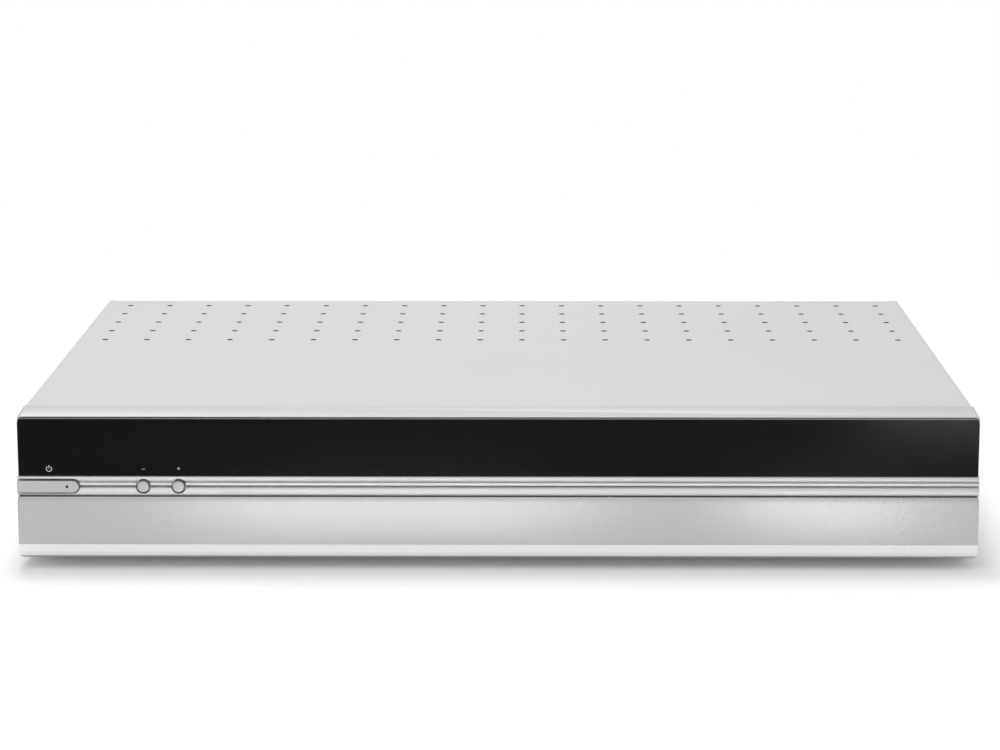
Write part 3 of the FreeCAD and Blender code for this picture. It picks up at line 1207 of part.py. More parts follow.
def drive_ribbon():
    """The flat cable that carries the recordings between the drive and the main board."""
    x0, x1 = DRIVE_LEFT + 9, DRIVE_LEFT + 59
    z = DRIVE_BOARD_Z - 1.2
    path = [(DRIVE_BACK + 6.0, z + 1.0), (186.2, z + 4), (187.0, 27), (189.5, 30), (196, 30), (198, 27),
            (198, BOARD_TOP + 9.1)]
    return strip(lambda y, z: Vector(x0, y, z), path, 1.0, Vector(x1 - x0, 0, 0))


def main_power_wires():
    """The wires from the power board to the main board, bound flat on edge."""
    path = [(-142, 170), (-120, 176), (-80, 214), (-56, 220)]
    return strip(lambda x, y: Vector(x, y, BOARD_TOP + 8.1), path, 3.0, Vector(0, 0, 8))


def drive_power_wires():
    """The wires from the power board to the disk drive, bound flat on edge."""
    path = [(-142, 156), (-120, 160), (-60, 185.6), (DRIVE_LEFT + 70, 185.9), (DRIVE_LEFT + 93, 186.0)]
    return strip(lambda x, y: Vector(x, y, 31.2), path, 2.0, Vector(0, 0, 8))


def save(name, shape):
    """Move a piece from the drawing's origin to the set's own origin and write it out."""
    placed = shape.copy()
    placed.translate(Vector(0, FACE_Y, 0))
    placed.exportStep(f"parts/{name}.step")


os.makedirs("parts", exist_ok=True)

NODES = {
    "top_cover": top_cover(),
    "chassis_tray": chassis_tray(),
    "rear_panel": rear_panel(),
    "front_frame": front_frame(),
    "display_window": display_window(),
    "trim_strip": trim_strip(),
    "lower_panel": lower_panel(),
    "standby_button": standby_button(),
    "standby_light_guide": standby_light_guide(),
    "channel_down_button": channel_button(CHANNEL_DOWN_X),
    "channel_up_button": channel_button(CHANNEL_UP_X),
    "standby_plunger": switch_plunger(STANDBY_SWITCH_X),
    "channel_down_plunger": switch_plunger(CHANNEL_DOWN_X),
    "channel_up_plunger": switch_plunger(CHANNEL_UP_X),
    "switch_housings": switch_housings(),
    "front_board": front_board(),
    "clock_display": clock_display(),
    "remote_sensor": remote_sensor(),
    "indicator_lamps": indicator_lamps(),
    "case_screws": screws(cover_fixings() + rear_panel_fixings() + fan_fixings()),
    "rubber_feet": rubber_feet(),
    "foot_screws": screws(foot_fixings()),
    "board_standoffs": board_standoffs(),
    "board_screws": screws(standoff_fixings(MAIN_STANDOFFS + POWER_STANDOFFS) + front_board_fixings()),
    "main_board": main_board(),
    "main_board_chips": main_board_chips(),
    "main_board_capacitors": main_board_capacitors(),
    "board_plugs": board_plugs(),
    "processor_heat_sink": processor_heat_sink(),
    "tuner_cans": tuner_cans(),
    "aerial_sockets": aerial_sockets(),
    "aerial_nuts": aerial_nuts(),
    "scart_sockets": scart_sockets(),
    "phono_sockets": phono_sockets(),
    "optical_socket": optical_socket(),
    "serial_socket": serial_socket(),
    "serial_posts": serial_posts(),
    "phone_socket": phone_socket(),
    "card_reader": card_reader(),
    "power_board": power_board(),
    "insulating_sheet": insulating_sheet(),
    "mains_inlet": mains_inlet(),
    "transformer": transformer(),
    "power_capacitors": power_capacitors(),
    "power_filter": power_filter(),
    "power_heat_sinks": power_heat_sinks(),
    "fan_frame": fan_frame(),
    "fan_rotor": fan_rotor(),
    "hard_drive_body": hard_drive_body(),
    "hard_drive_lid": hard_drive_lid(),
    "hard_drive_platter": hard_drive_platter(),
    "hard_drive_arm": hard_drive_arm(),
    "hard_drive_board": hard_drive_board(),
    "drive_bracket": drive_bracket(),
    "drive_grommets": drive_grommets(),
    "drive_screws": screws(drive_fixings() + drive_lid_fixings()),
    "hard_drive_magnet": hard_drive_magnet(),
    "ribbon_cables": group([front_ribbon(), drive_ribbon()]),
    "power_harness": group([main_power_wires(), drive_power_wires()]),
}

for node_name, node_shape in NODES.items():
    save(node_name, node_shape)
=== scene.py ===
# %% [markdown]
# # Dressing a satellite receiver for its picture
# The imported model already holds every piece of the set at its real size. This lesson gives the
# visible pieces their finished shape and their materials, then lights and frames the set.
# Lengths below are in millimetres, with Y counted back from the face of the lower front panel.

# %% Load the frame
import bmesh
import bpy
import math
import numpy as np
from mathutils import Euler, Matrix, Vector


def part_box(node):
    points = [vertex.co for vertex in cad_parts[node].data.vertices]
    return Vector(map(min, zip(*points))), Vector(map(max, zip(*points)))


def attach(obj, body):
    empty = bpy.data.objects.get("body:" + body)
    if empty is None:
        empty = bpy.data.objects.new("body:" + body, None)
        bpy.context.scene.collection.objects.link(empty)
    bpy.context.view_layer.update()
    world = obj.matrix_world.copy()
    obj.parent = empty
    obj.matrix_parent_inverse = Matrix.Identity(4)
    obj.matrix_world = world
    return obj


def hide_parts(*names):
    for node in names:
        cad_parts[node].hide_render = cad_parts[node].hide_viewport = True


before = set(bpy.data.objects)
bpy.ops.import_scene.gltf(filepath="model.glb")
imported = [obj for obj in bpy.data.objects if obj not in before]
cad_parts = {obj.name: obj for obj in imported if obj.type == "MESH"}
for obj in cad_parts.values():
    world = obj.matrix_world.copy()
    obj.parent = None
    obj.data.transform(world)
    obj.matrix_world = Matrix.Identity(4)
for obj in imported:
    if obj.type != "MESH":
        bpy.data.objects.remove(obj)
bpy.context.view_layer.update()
MM = 0.001
FACE_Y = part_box("lower_panel")[0][1] / MM
SET = "set"
QUARTER = math.pi / 2
print("nodes in the frame:", len(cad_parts))

# %% [markdown]
# ## Shader maths as plain sums
# A material is a small formula for each point of a surface. Nodes can spell that formula out one
# box at a time, but it is easier to read as a sum, so a short class wraps a node's output and
# turns each Python operator into the Math node that does it.

# %% A socket that can be added and multiplied


class Value:
    """A node's output. a + b, a - b, a * b and 1 - a add the matching Math node."""

    def __init__(self, paint, socket):
        self.paint, self.socket = paint, socket

    def _sum(self, operation, first, second):
        return self.paint.node("ShaderNodeMath", {"operation": operation}, {0: first, 1: second})

    def __add__(self, other):
        return self._sum("ADD", self, other)

    def __radd__(self, other):
        return self._sum("ADD", other, self)

    def __sub__(self, other):
        return self._sum("SUBTRACT", self, other)

    def __rsub__(self, other):
        return self._sum("SUBTRACT", other, self)

    def __mul__(self, other):
        return self._sum("MULTIPLY", self, other)

    def __rmul__(self, other):
        return self._sum("MULTIPLY", other, self)

    def above(self, edge):
        """1 where the value is greater than edge, and 0 elsewhere."""
        return self._sum("GREATER_THAN", self, edge)


# %% [markdown]
# ## One way to make any node
# Every finish is a handful of nodes round Blender's main shader. A second class holds a material
# while it grows: one method makes a node of any kind, and a few short ones stand for the small
# groups of nodes that come back in every finish.

# %% A material in the making


class Paint:
    """A material in the making: node adds any node, and set feeds the shader's own sockets."""

    def __init__(self, name, **sockets):
        self.material = bpy.data.materials.new(name)
        self.material.use_nodes = True
        self.tree = self.material.node_tree
        self.shader = self.tree.nodes["Principled BSDF"]
        self.set(**sockets)

    def node(self, kind, settings=None, inputs=None, output=0):
        """Any node: its settings first, then the values or links of its inputs."""
        made = self.tree.nodes.new(kind)
        for key, value in (settings or {}).items():
            setattr(made, key, value)
        for key, value in (inputs or {}).items():
            self.feed(made.inputs[key], value)
        return Value(self, made.outputs[output])

    def feed(self, socket, value):
        """Link a socket to a node's output, or set it to a plain value."""
        if isinstance(value, Value):
            self.tree.links.new(value.socket, socket)
        else:
            socket.default_value = value

    def set(self, **sockets):
        """Feed the shader's own sockets."""
        for key, value in sockets.items():
            self.feed(self.shader.inputs[key.replace("_", " ")], value)

    def place(self):
        """Where a point is on the object, in metres."""
        return self.node("ShaderNodeTexCoord", output="Object")

    def axis(self, letter):
        """One coordinate of the place on the object."""
        return self.node("ShaderNodeSeparateXYZ", {}, {0: self.place()}, output=letter)

    def noise(self, scale, detail=2.0, stretch=(1, 1, 1)):
        """Noise from 0 to 1; stretch multiplies the place first, so small numbers draw it out."""
        at = self.node("ShaderNodeMapping", {}, {"Vector": self.place(), "Scale": stretch})
        return self.node("ShaderNodeTexNoise", {}, {"Vector": at, "Scale": scale, "Detail": detail})

    def between(self, mask, low, high):
        """A colour mixed from low to high by mask. An end is a plain colour or a node's output."""
        low, high = (end if isinstance(end, Value) else (*end, 1.0) for end in (low, high))
        return self.node("ShaderNodeMix", {"data_type": "RGBA"}, {0: mask, 6: low, 7: high}, output=2)

    def bump(self, height, distance, strength):
        """Lift the surface by height times distance in metres."""
        size = {"Height": height, "Distance": distance, "Strength": strength}
        self.set(Normal=self.node("ShaderNodeBump", {}, size))


# %% [markdown]
# ## Silver paints
# The cover is steel with a silk silver paint, which has a fine grain and a faint cloudiness. The
# fascia is moulded plastic with a smoother silver paint. Each finish starts from one colour and
# roughness and lets two scales of noise vary them a little, as a spray booth would. Below its
# crease the lower panel leans back to its foot and mirrors a bright table. A painted reflection
# stands in for that: a paler, less metallic paint, kept to that band by height and depth, shows the
# same on any floor.

# %% Silver paints
CREASE = 11.9
# Painted reflection: the paler grey and the lower metalness of the lower panel's foot band stand in for the
# bright floor it mirrors.
PAINTED_REFLECTION_GREY, BAND_DEPTH, PAINTED_REFLECTION_LESS_METAL = (0.88, 0.88, 0.882), 1.7, 0.6


def times(colour, factor):
    """A colour made lighter or darker."""
    return tuple(part * factor for part in colour)


def silver(name, tone, roughness, grain, metallic, band=None):
    """Silver paint: tone is the grey, and grain the height of its fine texture in millimetres.
    Below the height band, where one is given, the front is paler and less metallic: a painted
    reflection of the bright floor."""
    paint = Paint(name, Metallic=metallic)
    cloud = paint.noise(9.0, 3.0)
    fleck = paint.noise(2600.0, 1.0)
    shade = paint.between(cloud * 0.55 + fleck * 0.45, times(tone, 0.975), times(tone, 1.025))
    if band is not None:
        under = 1.0 - paint.axis("Z").above(band * MM)
        front = 1.0 - paint.axis("Y").above((FACE_Y + BAND_DEPTH) * MM)
        foot = under * front
        # Painted reflection: below the crease and near the face the paint turns paler and less metallic,
        # standing in for the mirrored floor.
        shade = paint.between(foot, shade, PAINTED_REFLECTION_GREY)
        paint.set(Metallic=foot * -PAINTED_REFLECTION_LESS_METAL + metallic)
    paint.set(Base_Color=shade, Roughness=cloud * 0.05 + fleck * 0.06 + (roughness - 0.055))
    paint.bump(fleck, grain * MM, 0.5)
    return paint.material


cover_paint = silver("cover_silk_silver", (0.665, 0.665, 0.667), 0.42, 0.008, 0.4)
fascia_paint = silver("fascia_silver", (0.645, 0.646, 0.648), 0.36, 0.0006, 0.6)
# The lower panel's paint carries a painted reflection below the crease.
panel_paint = silver("panel_silver", (0.462, 0.463, 0.465), 0.26, 0.0006, 0.8, CREASE)
button_paint = silver("button_silver", (0.485, 0.486, 0.488), 0.31, 0.0006, 0.6)
print("silver paints, the last with", len(button_paint.node_tree.nodes), "nodes")

# %% [markdown]
# ## The smoked window
# On the real set the window is acrylic, so dark that only a lit display shows through. Glass with
# a dark tint would need that lit display behind it, so this one is simply almost black, with a
# low reflection, the faint waves of moulding and a painted highlight along the top: a paler,
# rougher strip where the real pane's top edge catches a thin line of light.

# %% Smoked window
# Painted highlight: the height from which the pane's top edge is painted paler, and the grey it is painted.
PAINTED_HIGHLIGHT_FROM, PAINTED_HIGHLIGHT_GREY = 69.62, (0.16, 0.16, 0.162)


def smoked_window():
    """Near-black polished acrylic, with a very slight waviness, dull patches and a painted highlight along
    the top edge, paler and rougher.
    """
    paint = Paint("smoked_window", IOR=1.45, Specular_IOR_Level=0.07)
    wave = paint.noise(14.0, 1.0, (1, 1, 2.4))
    haze = paint.noise(30.0, 3.0)
    body = paint.between(haze, (0.0025, 0.0025, 0.0027), (0.0045, 0.0045, 0.005))
    # Painted highlight: the top strip of the pane turns a paler grey and rougher, standing in for the thin
    # line of light its top edge catches.
    top_edge_highlight = paint.axis("Z").above(PAINTED_HIGHLIGHT_FROM * MM)
    paint.set(Base_Color=paint.between(top_edge_highlight, body, PAINTED_HIGHLIGHT_GREY), Roughness=haze * 0.06 + top_edge_highlight * 0.3 + 0.18)
    paint.bump(wave, 0.02 * MM, 0.35)
    return paint.material


window_black = smoked_window()
print("smoked window:", len(window_black.node_tree.nodes), "nodes")

# %% [markdown]
# ## Plastic, rubber and bare metal
# The back and the inside are black plastic, rubber, rolled steel and tin, and two recipes cover
# them all. Plastic is one colour with a faint mottle over a fine grain. Metal has fine lines drawn
# out one way, as rolling or turning leaves them, over slow patches of tarnish.

# %% Plastic and metal


def plastic(name, colour, roughness, grain=900.0, height=0.02):
    """Moulded plastic: one colour with a faint mottle and a fine spark-eroded texture."""
    paint = Paint(name)
    mottle = paint.noise(60.0, 2.0)
    texture = paint.noise(grain, 2.0)
    paint.set(Base_Color=paint.between(mottle, times(colour, 0.88), colour))
    paint.set(Roughness=texture * 0.12 + (roughness - 0.06))
    paint.bump(texture, height * MM, 0.4)
    return paint.material


def metal(name, colour, roughness, stretch, scale, tarnish=0.12):
    """Bare metal with fine lines one way, from rolling or turning, and slow patches of tarnish."""
    paint = Paint(name, Metallic=1.0)
    lines = paint.noise(scale, 3.0, stretch)
    patches = paint.noise(22.0, 4.0)
    paint.set(Base_Color=paint.between(patches * 0.7 + lines * 0.3, times(colour, 1 - tarnish), colour))
    paint.set(Roughness=lines * 0.14 + patches * 0.08 + (roughness - 0.1))
    paint.bump(lines, 0.008 * MM, 0.4)
    return paint.material


# %% [markdown]
# ## Circuit boards and the phono block
# A board is green lacquer over copper tracks. The joints of a brick pattern are near enough to
# tracks at this size. The phono block is black with one white and one red barrel, and the depth
# and height of a point are enough to tell them apart, so that no picture has to be painted.

# %% Circuit board and phono block
PHONO_X, PHONO_Z, PHONO_BARREL = 42.0, (24.0, 38.0), 300.6
PHONO_RED, PHONO_WHITE = (0.5, 0.025, 0.025), (0.8, 0.8, 0.78)


def circuit_board():
    """Green solder resist over copper tracks: a brick pattern gives the tracks, seen as a lighter green."""
    paint = Paint("circuit_board", Coat_Weight=0.3)
    bricks = {"Vector": paint.place(), "Scale": 160.0, "Mortar Size": 0.03}
    tracks = paint.node("ShaderNodeTexBrick", {"offset": 0.5}, bricks, output=1)
    mottle = paint.noise(70.0, 3.0)
    paint.set(Base_Color=paint.between(tracks * 0.6 + mottle * 0.2, (0.012, 0.085, 0.03), (0.04, 0.2, 0.08)))
    paint.set(Roughness=mottle * 0.15 + 0.25)
    return paint.material


def phono_plastic():
    """Black block whose two barrels are coloured by their height: white over red."""
    paint = Paint("phono_block")
    proud = paint.axis("Y").above((FACE_Y + PHONO_BARREL) * MM)
    upper = paint.axis("Z").above(sum(PHONO_Z) / 2 * MM)
    barrel = paint.between(upper, PHONO_RED, PHONO_WHITE)
    paint.set(Base_Color=paint.between(proud, (0.02, 0.02, 0.02), barrel))
    paint.set(Roughness=paint.noise(300.0) * 0.1 + 0.35)
    return paint.material


board_green = circuit_board()
phono_finish = phono_plastic()
print("board and phono block:", board_green.name, phono_finish.name)

# %% [markdown]
# ## One line for each material
# With the recipes ready, every other finish is one line: a name, a colour, a roughness and, for
# metal, the way its lines run and how fine they are.

# %% All other finishes
black_plastic = plastic("black_plastic", (0.022, 0.022, 0.024), 0.42)
white_plastic = plastic("white_plastic", (0.78, 0.78, 0.74), 0.4)
brown_plastic = plastic("insulating_film", (0.62, 0.55, 0.40), 0.35)
rubber = plastic("soft_rubber", (0.025, 0.025, 0.026), 0.72, 500.0, 0.05)
print_grey = plastic("printed_grey", (0.62, 0.63, 0.64), 0.5)
dark_lens = plastic("dark_lens", (0.03, 0.025, 0.025), 0.12, 300.0, 0.004)
ribbon_plastic = plastic("ribbon_grey", (0.42, 0.43, 0.45), 0.5)
wire_plastic = plastic("wire_insulation", (0.42, 0.05, 0.035), 0.42)
film_yellow = plastic("capacitor_yellow", (0.65, 0.45, 0.06), 0.4)
ferrite = plastic("dark_ferrite", (0.05, 0.047, 0.042), 0.6, 400.0, 0.06)
zinc = metal("zinc_steel", (0.68, 0.69, 0.70), 0.36, (1, 1, 24), 60.0, 0.16)
screw_metal = metal("screw_steel", (0.55, 0.55, 0.57), 0.3, (1, 1, 1), 300.0)
# Cut steel darkened into painted shade, for the walls of the cover's vents and its edges.
cut_edge_painted_shade = metal("cut_edge_painted_shade", (0.20, 0.20, 0.21), 0.5, (1, 1, 12), 200.0)
tin = metal("tin_plate", (0.52, 0.515, 0.50), 0.3, (30, 30, 1), 60.0)
aluminium = metal("bare_aluminium", (0.75, 0.76, 0.77), 0.34, (1, 26, 1), 90.0)
disk_face = metal("disk_face", (0.86, 0.86, 0.88), 0.12, (1, 1, 1), 20.0, 0.03)
print("materials in the file:", len(bpy.data.materials))

# %% [markdown]
# ## Finishes for the frame's own pieces
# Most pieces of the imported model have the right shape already. They keep it, and only take a
# finish: a table from finish to pieces is the whole of that step.

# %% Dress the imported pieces
FINISH = {
    fascia_paint: ["front_frame"],
    zinc: ["chassis_tray", "rear_panel", "drive_bracket"],
    black_plastic: [
        "switch_housings", "standby_plunger", "channel_down_plunger", "channel_up_plunger",
        "remote_sensor", "main_board_chips", "scart_sockets", "optical_socket", "phone_socket",
        "card_reader", "fan_frame", "fan_rotor", "power_capacitors", "main_board_capacitors",
        "mains_inlet", "clock_display",
    ],
    dark_lens: ["indicator_lamps", "standby_light_guide"],
    board_green: ["front_board", "main_board", "power_board", "hard_drive_board"],
    screw_metal: [
        "board_screws", "drive_screws", "board_standoffs", "serial_posts", "case_screws", "foot_screws",
    ],
    rubber: ["drive_grommets"],
    white_plastic: ["board_plugs"],
    brown_plastic: ["insulating_sheet"],
    aluminium: [
        "processor_heat_sink", "power_heat_sinks", "hard_drive_body", "hard_drive_lid", "hard_drive_arm",
    ],
    tin: ["tuner_cans", "aerial_sockets", "aerial_nuts", "serial_socket"],
    disk_face: ["hard_drive_platter"],
    ferrite: ["transformer", "hard_drive_magnet"],
    film_yellow: ["power_filter"],
    ribbon_plastic: ["ribbon_cables"],
    wire_plastic: ["power_harness"],
    phono_finish: ["phono_sockets"],
}


def wear(node, material):
    """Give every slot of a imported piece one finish."""
    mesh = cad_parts[node].data
    if not mesh.materials:
        mesh.materials.append(material)
    for i in range(len(mesh.materials)):
        mesh.materials[i] = material


for material, names in FINISH.items():
    for node in names:
        wear(node, material)
print("nodes with a finish:", sum(len(names) for names in FINISH.values()))

# %% [markdown]
# ## Surfaces from arrays
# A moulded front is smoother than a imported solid, so the pieces that the camera sees up close are
# worked out again as surfaces. Modelling them by hand would do, but arrays of points on a grid
# keep each measure in sight. A patch is one such grid, and patches can be joined.

# %% Grids and patches


def quads(rows, columns):
    """The four corners of every cell of a grid whose points are numbered row by row."""
    first = np.arange((rows - 1) * columns).reshape(rows - 1, columns)[:, :-1].ravel()
    return np.stack([first, first + 1, first + columns + 1, first + columns], axis=1)


def patch(x, y, z):
    """One grid of points from three arrays of the same shape, with its faces."""
    x, y, z = np.broadcast_arrays(x, y, z)
    return np.stack([x, y, z], axis=-1).reshape(-1, 3), quads(*x.shape)


def join(patches):
    """Several patches as one list of points and one of faces."""
    points, faces, start = [], [], 0
    for cloud, cells in patches:
        points.append(cloud)
        faces.append(cells + start)
        start += len(cloud)
    return np.concatenate(points), np.concatenate(faces)


# %% [markdown]
# ## From patches to a moulding
# A moulding has walls and a back behind its face. Drawing them for every piece would be dull work,
# so one helper merges the patches, carries their open edges straight back and closes them. It
# shades the mesh as smooth, but keeps true edges sharp.

# %% Solid mouldings
MERGE_WITHIN, NO_LENGTH = 2e-6, 1e-7
SHARP = 32.0


def smooth(mesh, sharp):
    """Smooth shading, but for the edges that turn by more than sharp degrees."""
    mesh.polygons.foreach_set("use_smooth", np.ones(len(mesh.polygons), dtype=bool))
    mesh.set_sharp_from_angle(angle=math.radians(sharp))


def crisp_rims(mesh):
    """Mark the open edges sharp, so that a wall grown from them doesn't round their shading."""
    used = np.empty(len(mesh.loops), dtype=np.int32)
    mesh.loops.foreach_get("edge_index", used)
    marks = np.empty(len(mesh.edges), dtype=bool)
    mesh.edges.foreach_get("use_edge_sharp", marks)
    marks |= np.bincount(used, minlength=len(mesh.edges)) == 1
    mesh.edges.foreach_set("use_edge_sharp", marks)


def to_mesh(name, patches, back=None, sharp=SHARP):
    """A mesh in metres from patches in millimetres. Points that meet are merged. If back is given,
    the open edges are carried straight back to that depth and closed by a flat back."""
    points, faces = join(patches)
    points = (points + (0, FACE_Y, 0)) * MM
    mesh = bpy.data.meshes.new(name)
    mesh.from_pydata(points, [], faces.tolist())
    form = bmesh.new()
    form.from_mesh(mesh)
    bmesh.ops.remove_doubles(form, verts=form.verts, dist=MERGE_WITHIN)
    bmesh.ops.dissolve_degenerate(form, edges=form.edges, dist=NO_LENGTH)
    if back is not None:
        rim = [edge for edge in form.edges if edge.is_boundary]
        grown = bmesh.ops.extrude_edge_only(form, edges=rim)["geom"]
        for vertex in [g for g in grown if isinstance(g, bmesh.types.BMVert)]:
            vertex.co.y = (back + FACE_Y) * MM
        edges = [g for g in grown if isinstance(g, bmesh.types.BMEdge) and g.is_boundary]
        bmesh.ops.triangle_fill(form, edges=edges, use_beauty=True, use_dissolve=False)
    bmesh.ops.recalc_face_normals(form, faces=form.faces)
    form.to_mesh(mesh)
    form.free()
    smooth(mesh, sharp)
    crisp_rims(mesh)
    return mesh


# %% [markdown]
# ## Putting a piece on the set
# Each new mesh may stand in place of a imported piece, and has to move with one body of the set.
# Both are said in one helper, which also gives the piece its finish, and a second one calls it
# straight from patches. Two more space the points of a wide face and round its edges.

# %% Adding pieces and rounding edges


def add(name, mesh, material, body=SET, stands_for=()):
    """Put a finished mesh in the scene, on its body."""
    piece = bpy.data.objects.new(name, mesh)
    bpy.context.scene.collection.objects.link(piece)
    mesh.materials.clear()
    mesh.materials.append(material)
    if stands_for:
        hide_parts(*stands_for)
    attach(piece, body)
    print(f"{name}: {len(mesh.polygons)} faces")
    return piece


def build(name, patches, material, body=SET, stands_for=(), back=None, sharp=SHARP):
    """A piece straight from its patches."""
    return add(name, to_mesh(name, patches, back, sharp), material, body, stands_for)


def towards_ends(low, high, count, fine, reach):
    """Values from low to high, even in the middle and closer within reach of both ends."""
    edge = reach * (1 - np.cos(np.linspace(0, QUARTER, fine)))
    middle = np.linspace(low + reach, high - reach, count)
    return np.unique(np.round(np.concatenate([low + edge, middle, high - edge]), 5))


def edge_drop(distance, radius):
    """How far a rounded edge falls back: a quarter circle within radius of the edge, 0 elsewhere."""
    inward = np.clip(radius - distance, 0, radius)
    return radius - np.sqrt(np.maximum(radius ** 2 - inward ** 2, 0))


# %% [markdown]
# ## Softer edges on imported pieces
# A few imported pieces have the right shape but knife-sharp edges. A copy of the piece, with its
# doubled points merged, can take a Bevel that rounds each sharp edge by a fraction of a millimetre.

# %% Softened copies
DOUBLED_WITHIN, BEVEL_FROM = 1e-6, 40.0


def softened(name, node, width, material):
    """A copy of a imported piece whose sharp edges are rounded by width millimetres."""
    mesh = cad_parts[node].data.copy()
    mesh.name = name
    form = bmesh.new()
    form.from_mesh(mesh)
    bmesh.ops.remove_doubles(form, verts=form.verts, dist=DOUBLED_WITHIN)
    form.to_mesh(mesh)
    form.free()
    smooth(mesh, SHARP)
    piece = add(name, mesh, material, stands_for=[node])
    edge = piece.modifiers.new("soft edges", "BEVEL")
    edge.width, edge.segments = width * MM, 2
    edge.limit_method, edge.angle_limit = "ANGLE", math.radians(BEVEL_FROM)
    edge.harden_normals = True


softened("fascia_moulding", "front_frame", 0.22, fascia_paint)
softened("inlet_moulding", "mains_inlet", 0.2, black_plastic)
softened("scart_moulding", "scart_sockets", 0.15, black_plastic)
softened("phone_moulding", "phone_socket", 0.15, black_plastic)

# %% [markdown]
# ## Vents in the cover
# The cover is one steel sheet bent into a channel, with 100 round vents punched near the back. A
# Boolean would cut them, but leaves long thin faces that shade badly. Here the squares around the
# vents are left out of the sheet's grid and filled by patches that grow from a circle out to a
# square, so that each hole is truly round.

# %% Vents
VENT_COLUMNS, VENT_ROWS, VENT_X, VENT_Y = 20, 5, 21.3, 25.0
VENT_LAST, VENT_RADIUS, STEPS = 284.5, 1.6, 8
RING_MIX = (0, 0.04, 0.25, 1.0)
COVER_TOP = 71.8


def vent_patches():
    """For every vent, rings that go from its circle to the square around it: a ring's points are
    the mix (1 - t) * circle + t * square, at the same angles."""
    run = np.linspace(-1, 1, STEPS + 1)[:-1]
    square = np.concatenate([
        np.stack([run, -np.ones(STEPS)], 1), np.stack([np.ones(STEPS), run], 1),
        np.stack([-run, np.ones(STEPS)], 1), np.stack([-np.ones(STEPS), -run], 1),
    ])
    square = np.concatenate([square, square[:1]]) * (VENT_X / 2, VENT_Y / 2)
    circle = VENT_RADIUS * square / np.linalg.norm(square, axis=1, keepdims=True)
    mix = np.array(RING_MIX)[:, None, None]
    ring = (1 - mix) * circle + mix * square
    made = []
    for row in range(VENT_ROWS):
        for column in range(VENT_COLUMNS):
            x = (column - (VENT_COLUMNS - 1) / 2) * VENT_X
            made.append(patch(ring[..., 0] + x, ring[..., 1] + VENT_LAST - row * VENT_Y, COVER_TOP))
    return made


print("vents:", len(vent_patches()))

# %% [markdown]
# ## The cover
# The rest of the sheet is a grid of its section, carried from front to back, with a lip that turns
# down at the back. Solidify then gives the sheet its thickness and the holes their walls, in the
# colour of cut steel darkened into a painted shade, so that the vents show as dark holes.

# %% Cover
COVER_HALF, COVER_BEND, COVER_SHEET, REAR_BEND = 216.6, 1.5, 0.8, 1.3
COVER_FRONT, COVER_BACK, COVER_FOOT, SIDE_ROW, LIP_FOOT = 21.2, 301.0, 5.5, 40.0, 62.0
FIELD_HALF = VENT_COLUMNS * VENT_X / 2
FIELD_BACK = VENT_LAST + VENT_Y / 2
FIELD_FRONT = FIELD_BACK - VENT_ROWS * VENT_Y
SET_MIDDLE = (0, 0, 0.03)


def cover_patches():
    """The sheet's outside: a grid of the section (side, bend, top) by depth, open over the vents,
    then the lip that turns down at the back, then a patch for each vent."""
    across = np.linspace(-FIELD_HALF, FIELD_HALF, VENT_COLUMNS * STEPS + 1)
    field = np.linspace(FIELD_FRONT, FIELD_BACK, VENT_ROWS * STEPS + 1)
    top_back = COVER_BACK - REAR_BEND
    turn = np.linspace(0, QUARTER, 7)
    bend_x = COVER_HALF - COVER_BEND + COVER_BEND * np.cos(turn)
    bend_z = COVER_TOP - COVER_BEND + COVER_BEND * np.sin(turn)
    side_x = np.concatenate([[COVER_HALF, COVER_HALF], bend_x, [FIELD_HALF]])
    side_z = np.concatenate([[COVER_FOOT, SIDE_ROW], bend_z, [COVER_TOP]])
    plain = np.linspace(COVER_FRONT, FIELD_FRONT, 10)
    depth = np.concatenate([plain, field[1:], [top_back, COVER_BACK]])[:, None]
    made = [patch(side * side_x[None, :], depth, side_z[None, :]) for side in (1, -1)]
    made.append(patch(across[None, :], plain[:, None], COVER_TOP))
    made.append(patch(across[None, :], np.array([[FIELD_BACK], [top_back]]), COVER_TOP))
    fall = np.concatenate([turn, [QUARTER]])[:, None]
    lip_y = top_back + REAR_BEND * np.sin(fall)
    lip_z = COVER_TOP - REAR_BEND + REAR_BEND * np.cos(fall)
    lip_z[-1] = LIP_FOOT
    made.append(patch(across[None, :], lip_y, lip_z))
    return made + vent_patches()


def outwards(mesh, middle):
    """Turn the whole sheet over if its faces look towards the middle of the set, in metres."""
    centres = np.empty(len(mesh.polygons) * 3)
    normals = np.empty(len(mesh.polygons) * 3)
    mesh.polygons.foreach_get("center", centres)
    mesh.polygons.foreach_get("normal", normals)
    away = ((centres.reshape(-1, 3) - middle) * normals.reshape(-1, 3)).sum()
    if away < 0:
        mesh.flip_normals()


cover_mesh = to_mesh("cover_sheet", cover_patches())
outwards(cover_mesh, SET_MIDDLE)
cover = add("cover_sheet", cover_mesh, cover_paint, stands_for=["top_cover"])
wall = cover.modifiers.new("sheet", "SOLIDIFY")
wall.thickness, wall.offset, wall.use_even_offset = COVER_SHEET * MM, -1.0, True
# The walls of the sheet and its vents take the dark cut-edge paint, a painted shade.
cover.data.materials.append(cut_edge_painted_shade)
wall.material_offset_rim = 1

# %% [markdown]
# ## The section of the strip
# Under the window runs a strip with a full bead, a groove, a small lip and a flute, the lines that
# give this front its look. Its face is a depth for each height, so one curve made of arcs
# describes it all along.

# %% Strip section
HALF = 217.5
STRIP_LOW, STRIP_HIGH, STRIP_END = 34.2, 43.3, 0.45
MOULDING_BACK, POINTS_APART = 4.9, 1e-3


def arc(middle_z, middle_y, radius_z, radius_y, start, end, count):
    """Heights and depths along an arc that is given by its turning angle in degrees."""
    turn = np.radians(np.linspace(start, end, count))
    return np.stack([middle_z + radius_z * np.sin(turn), middle_y - radius_y * np.cos(turn)], 1)


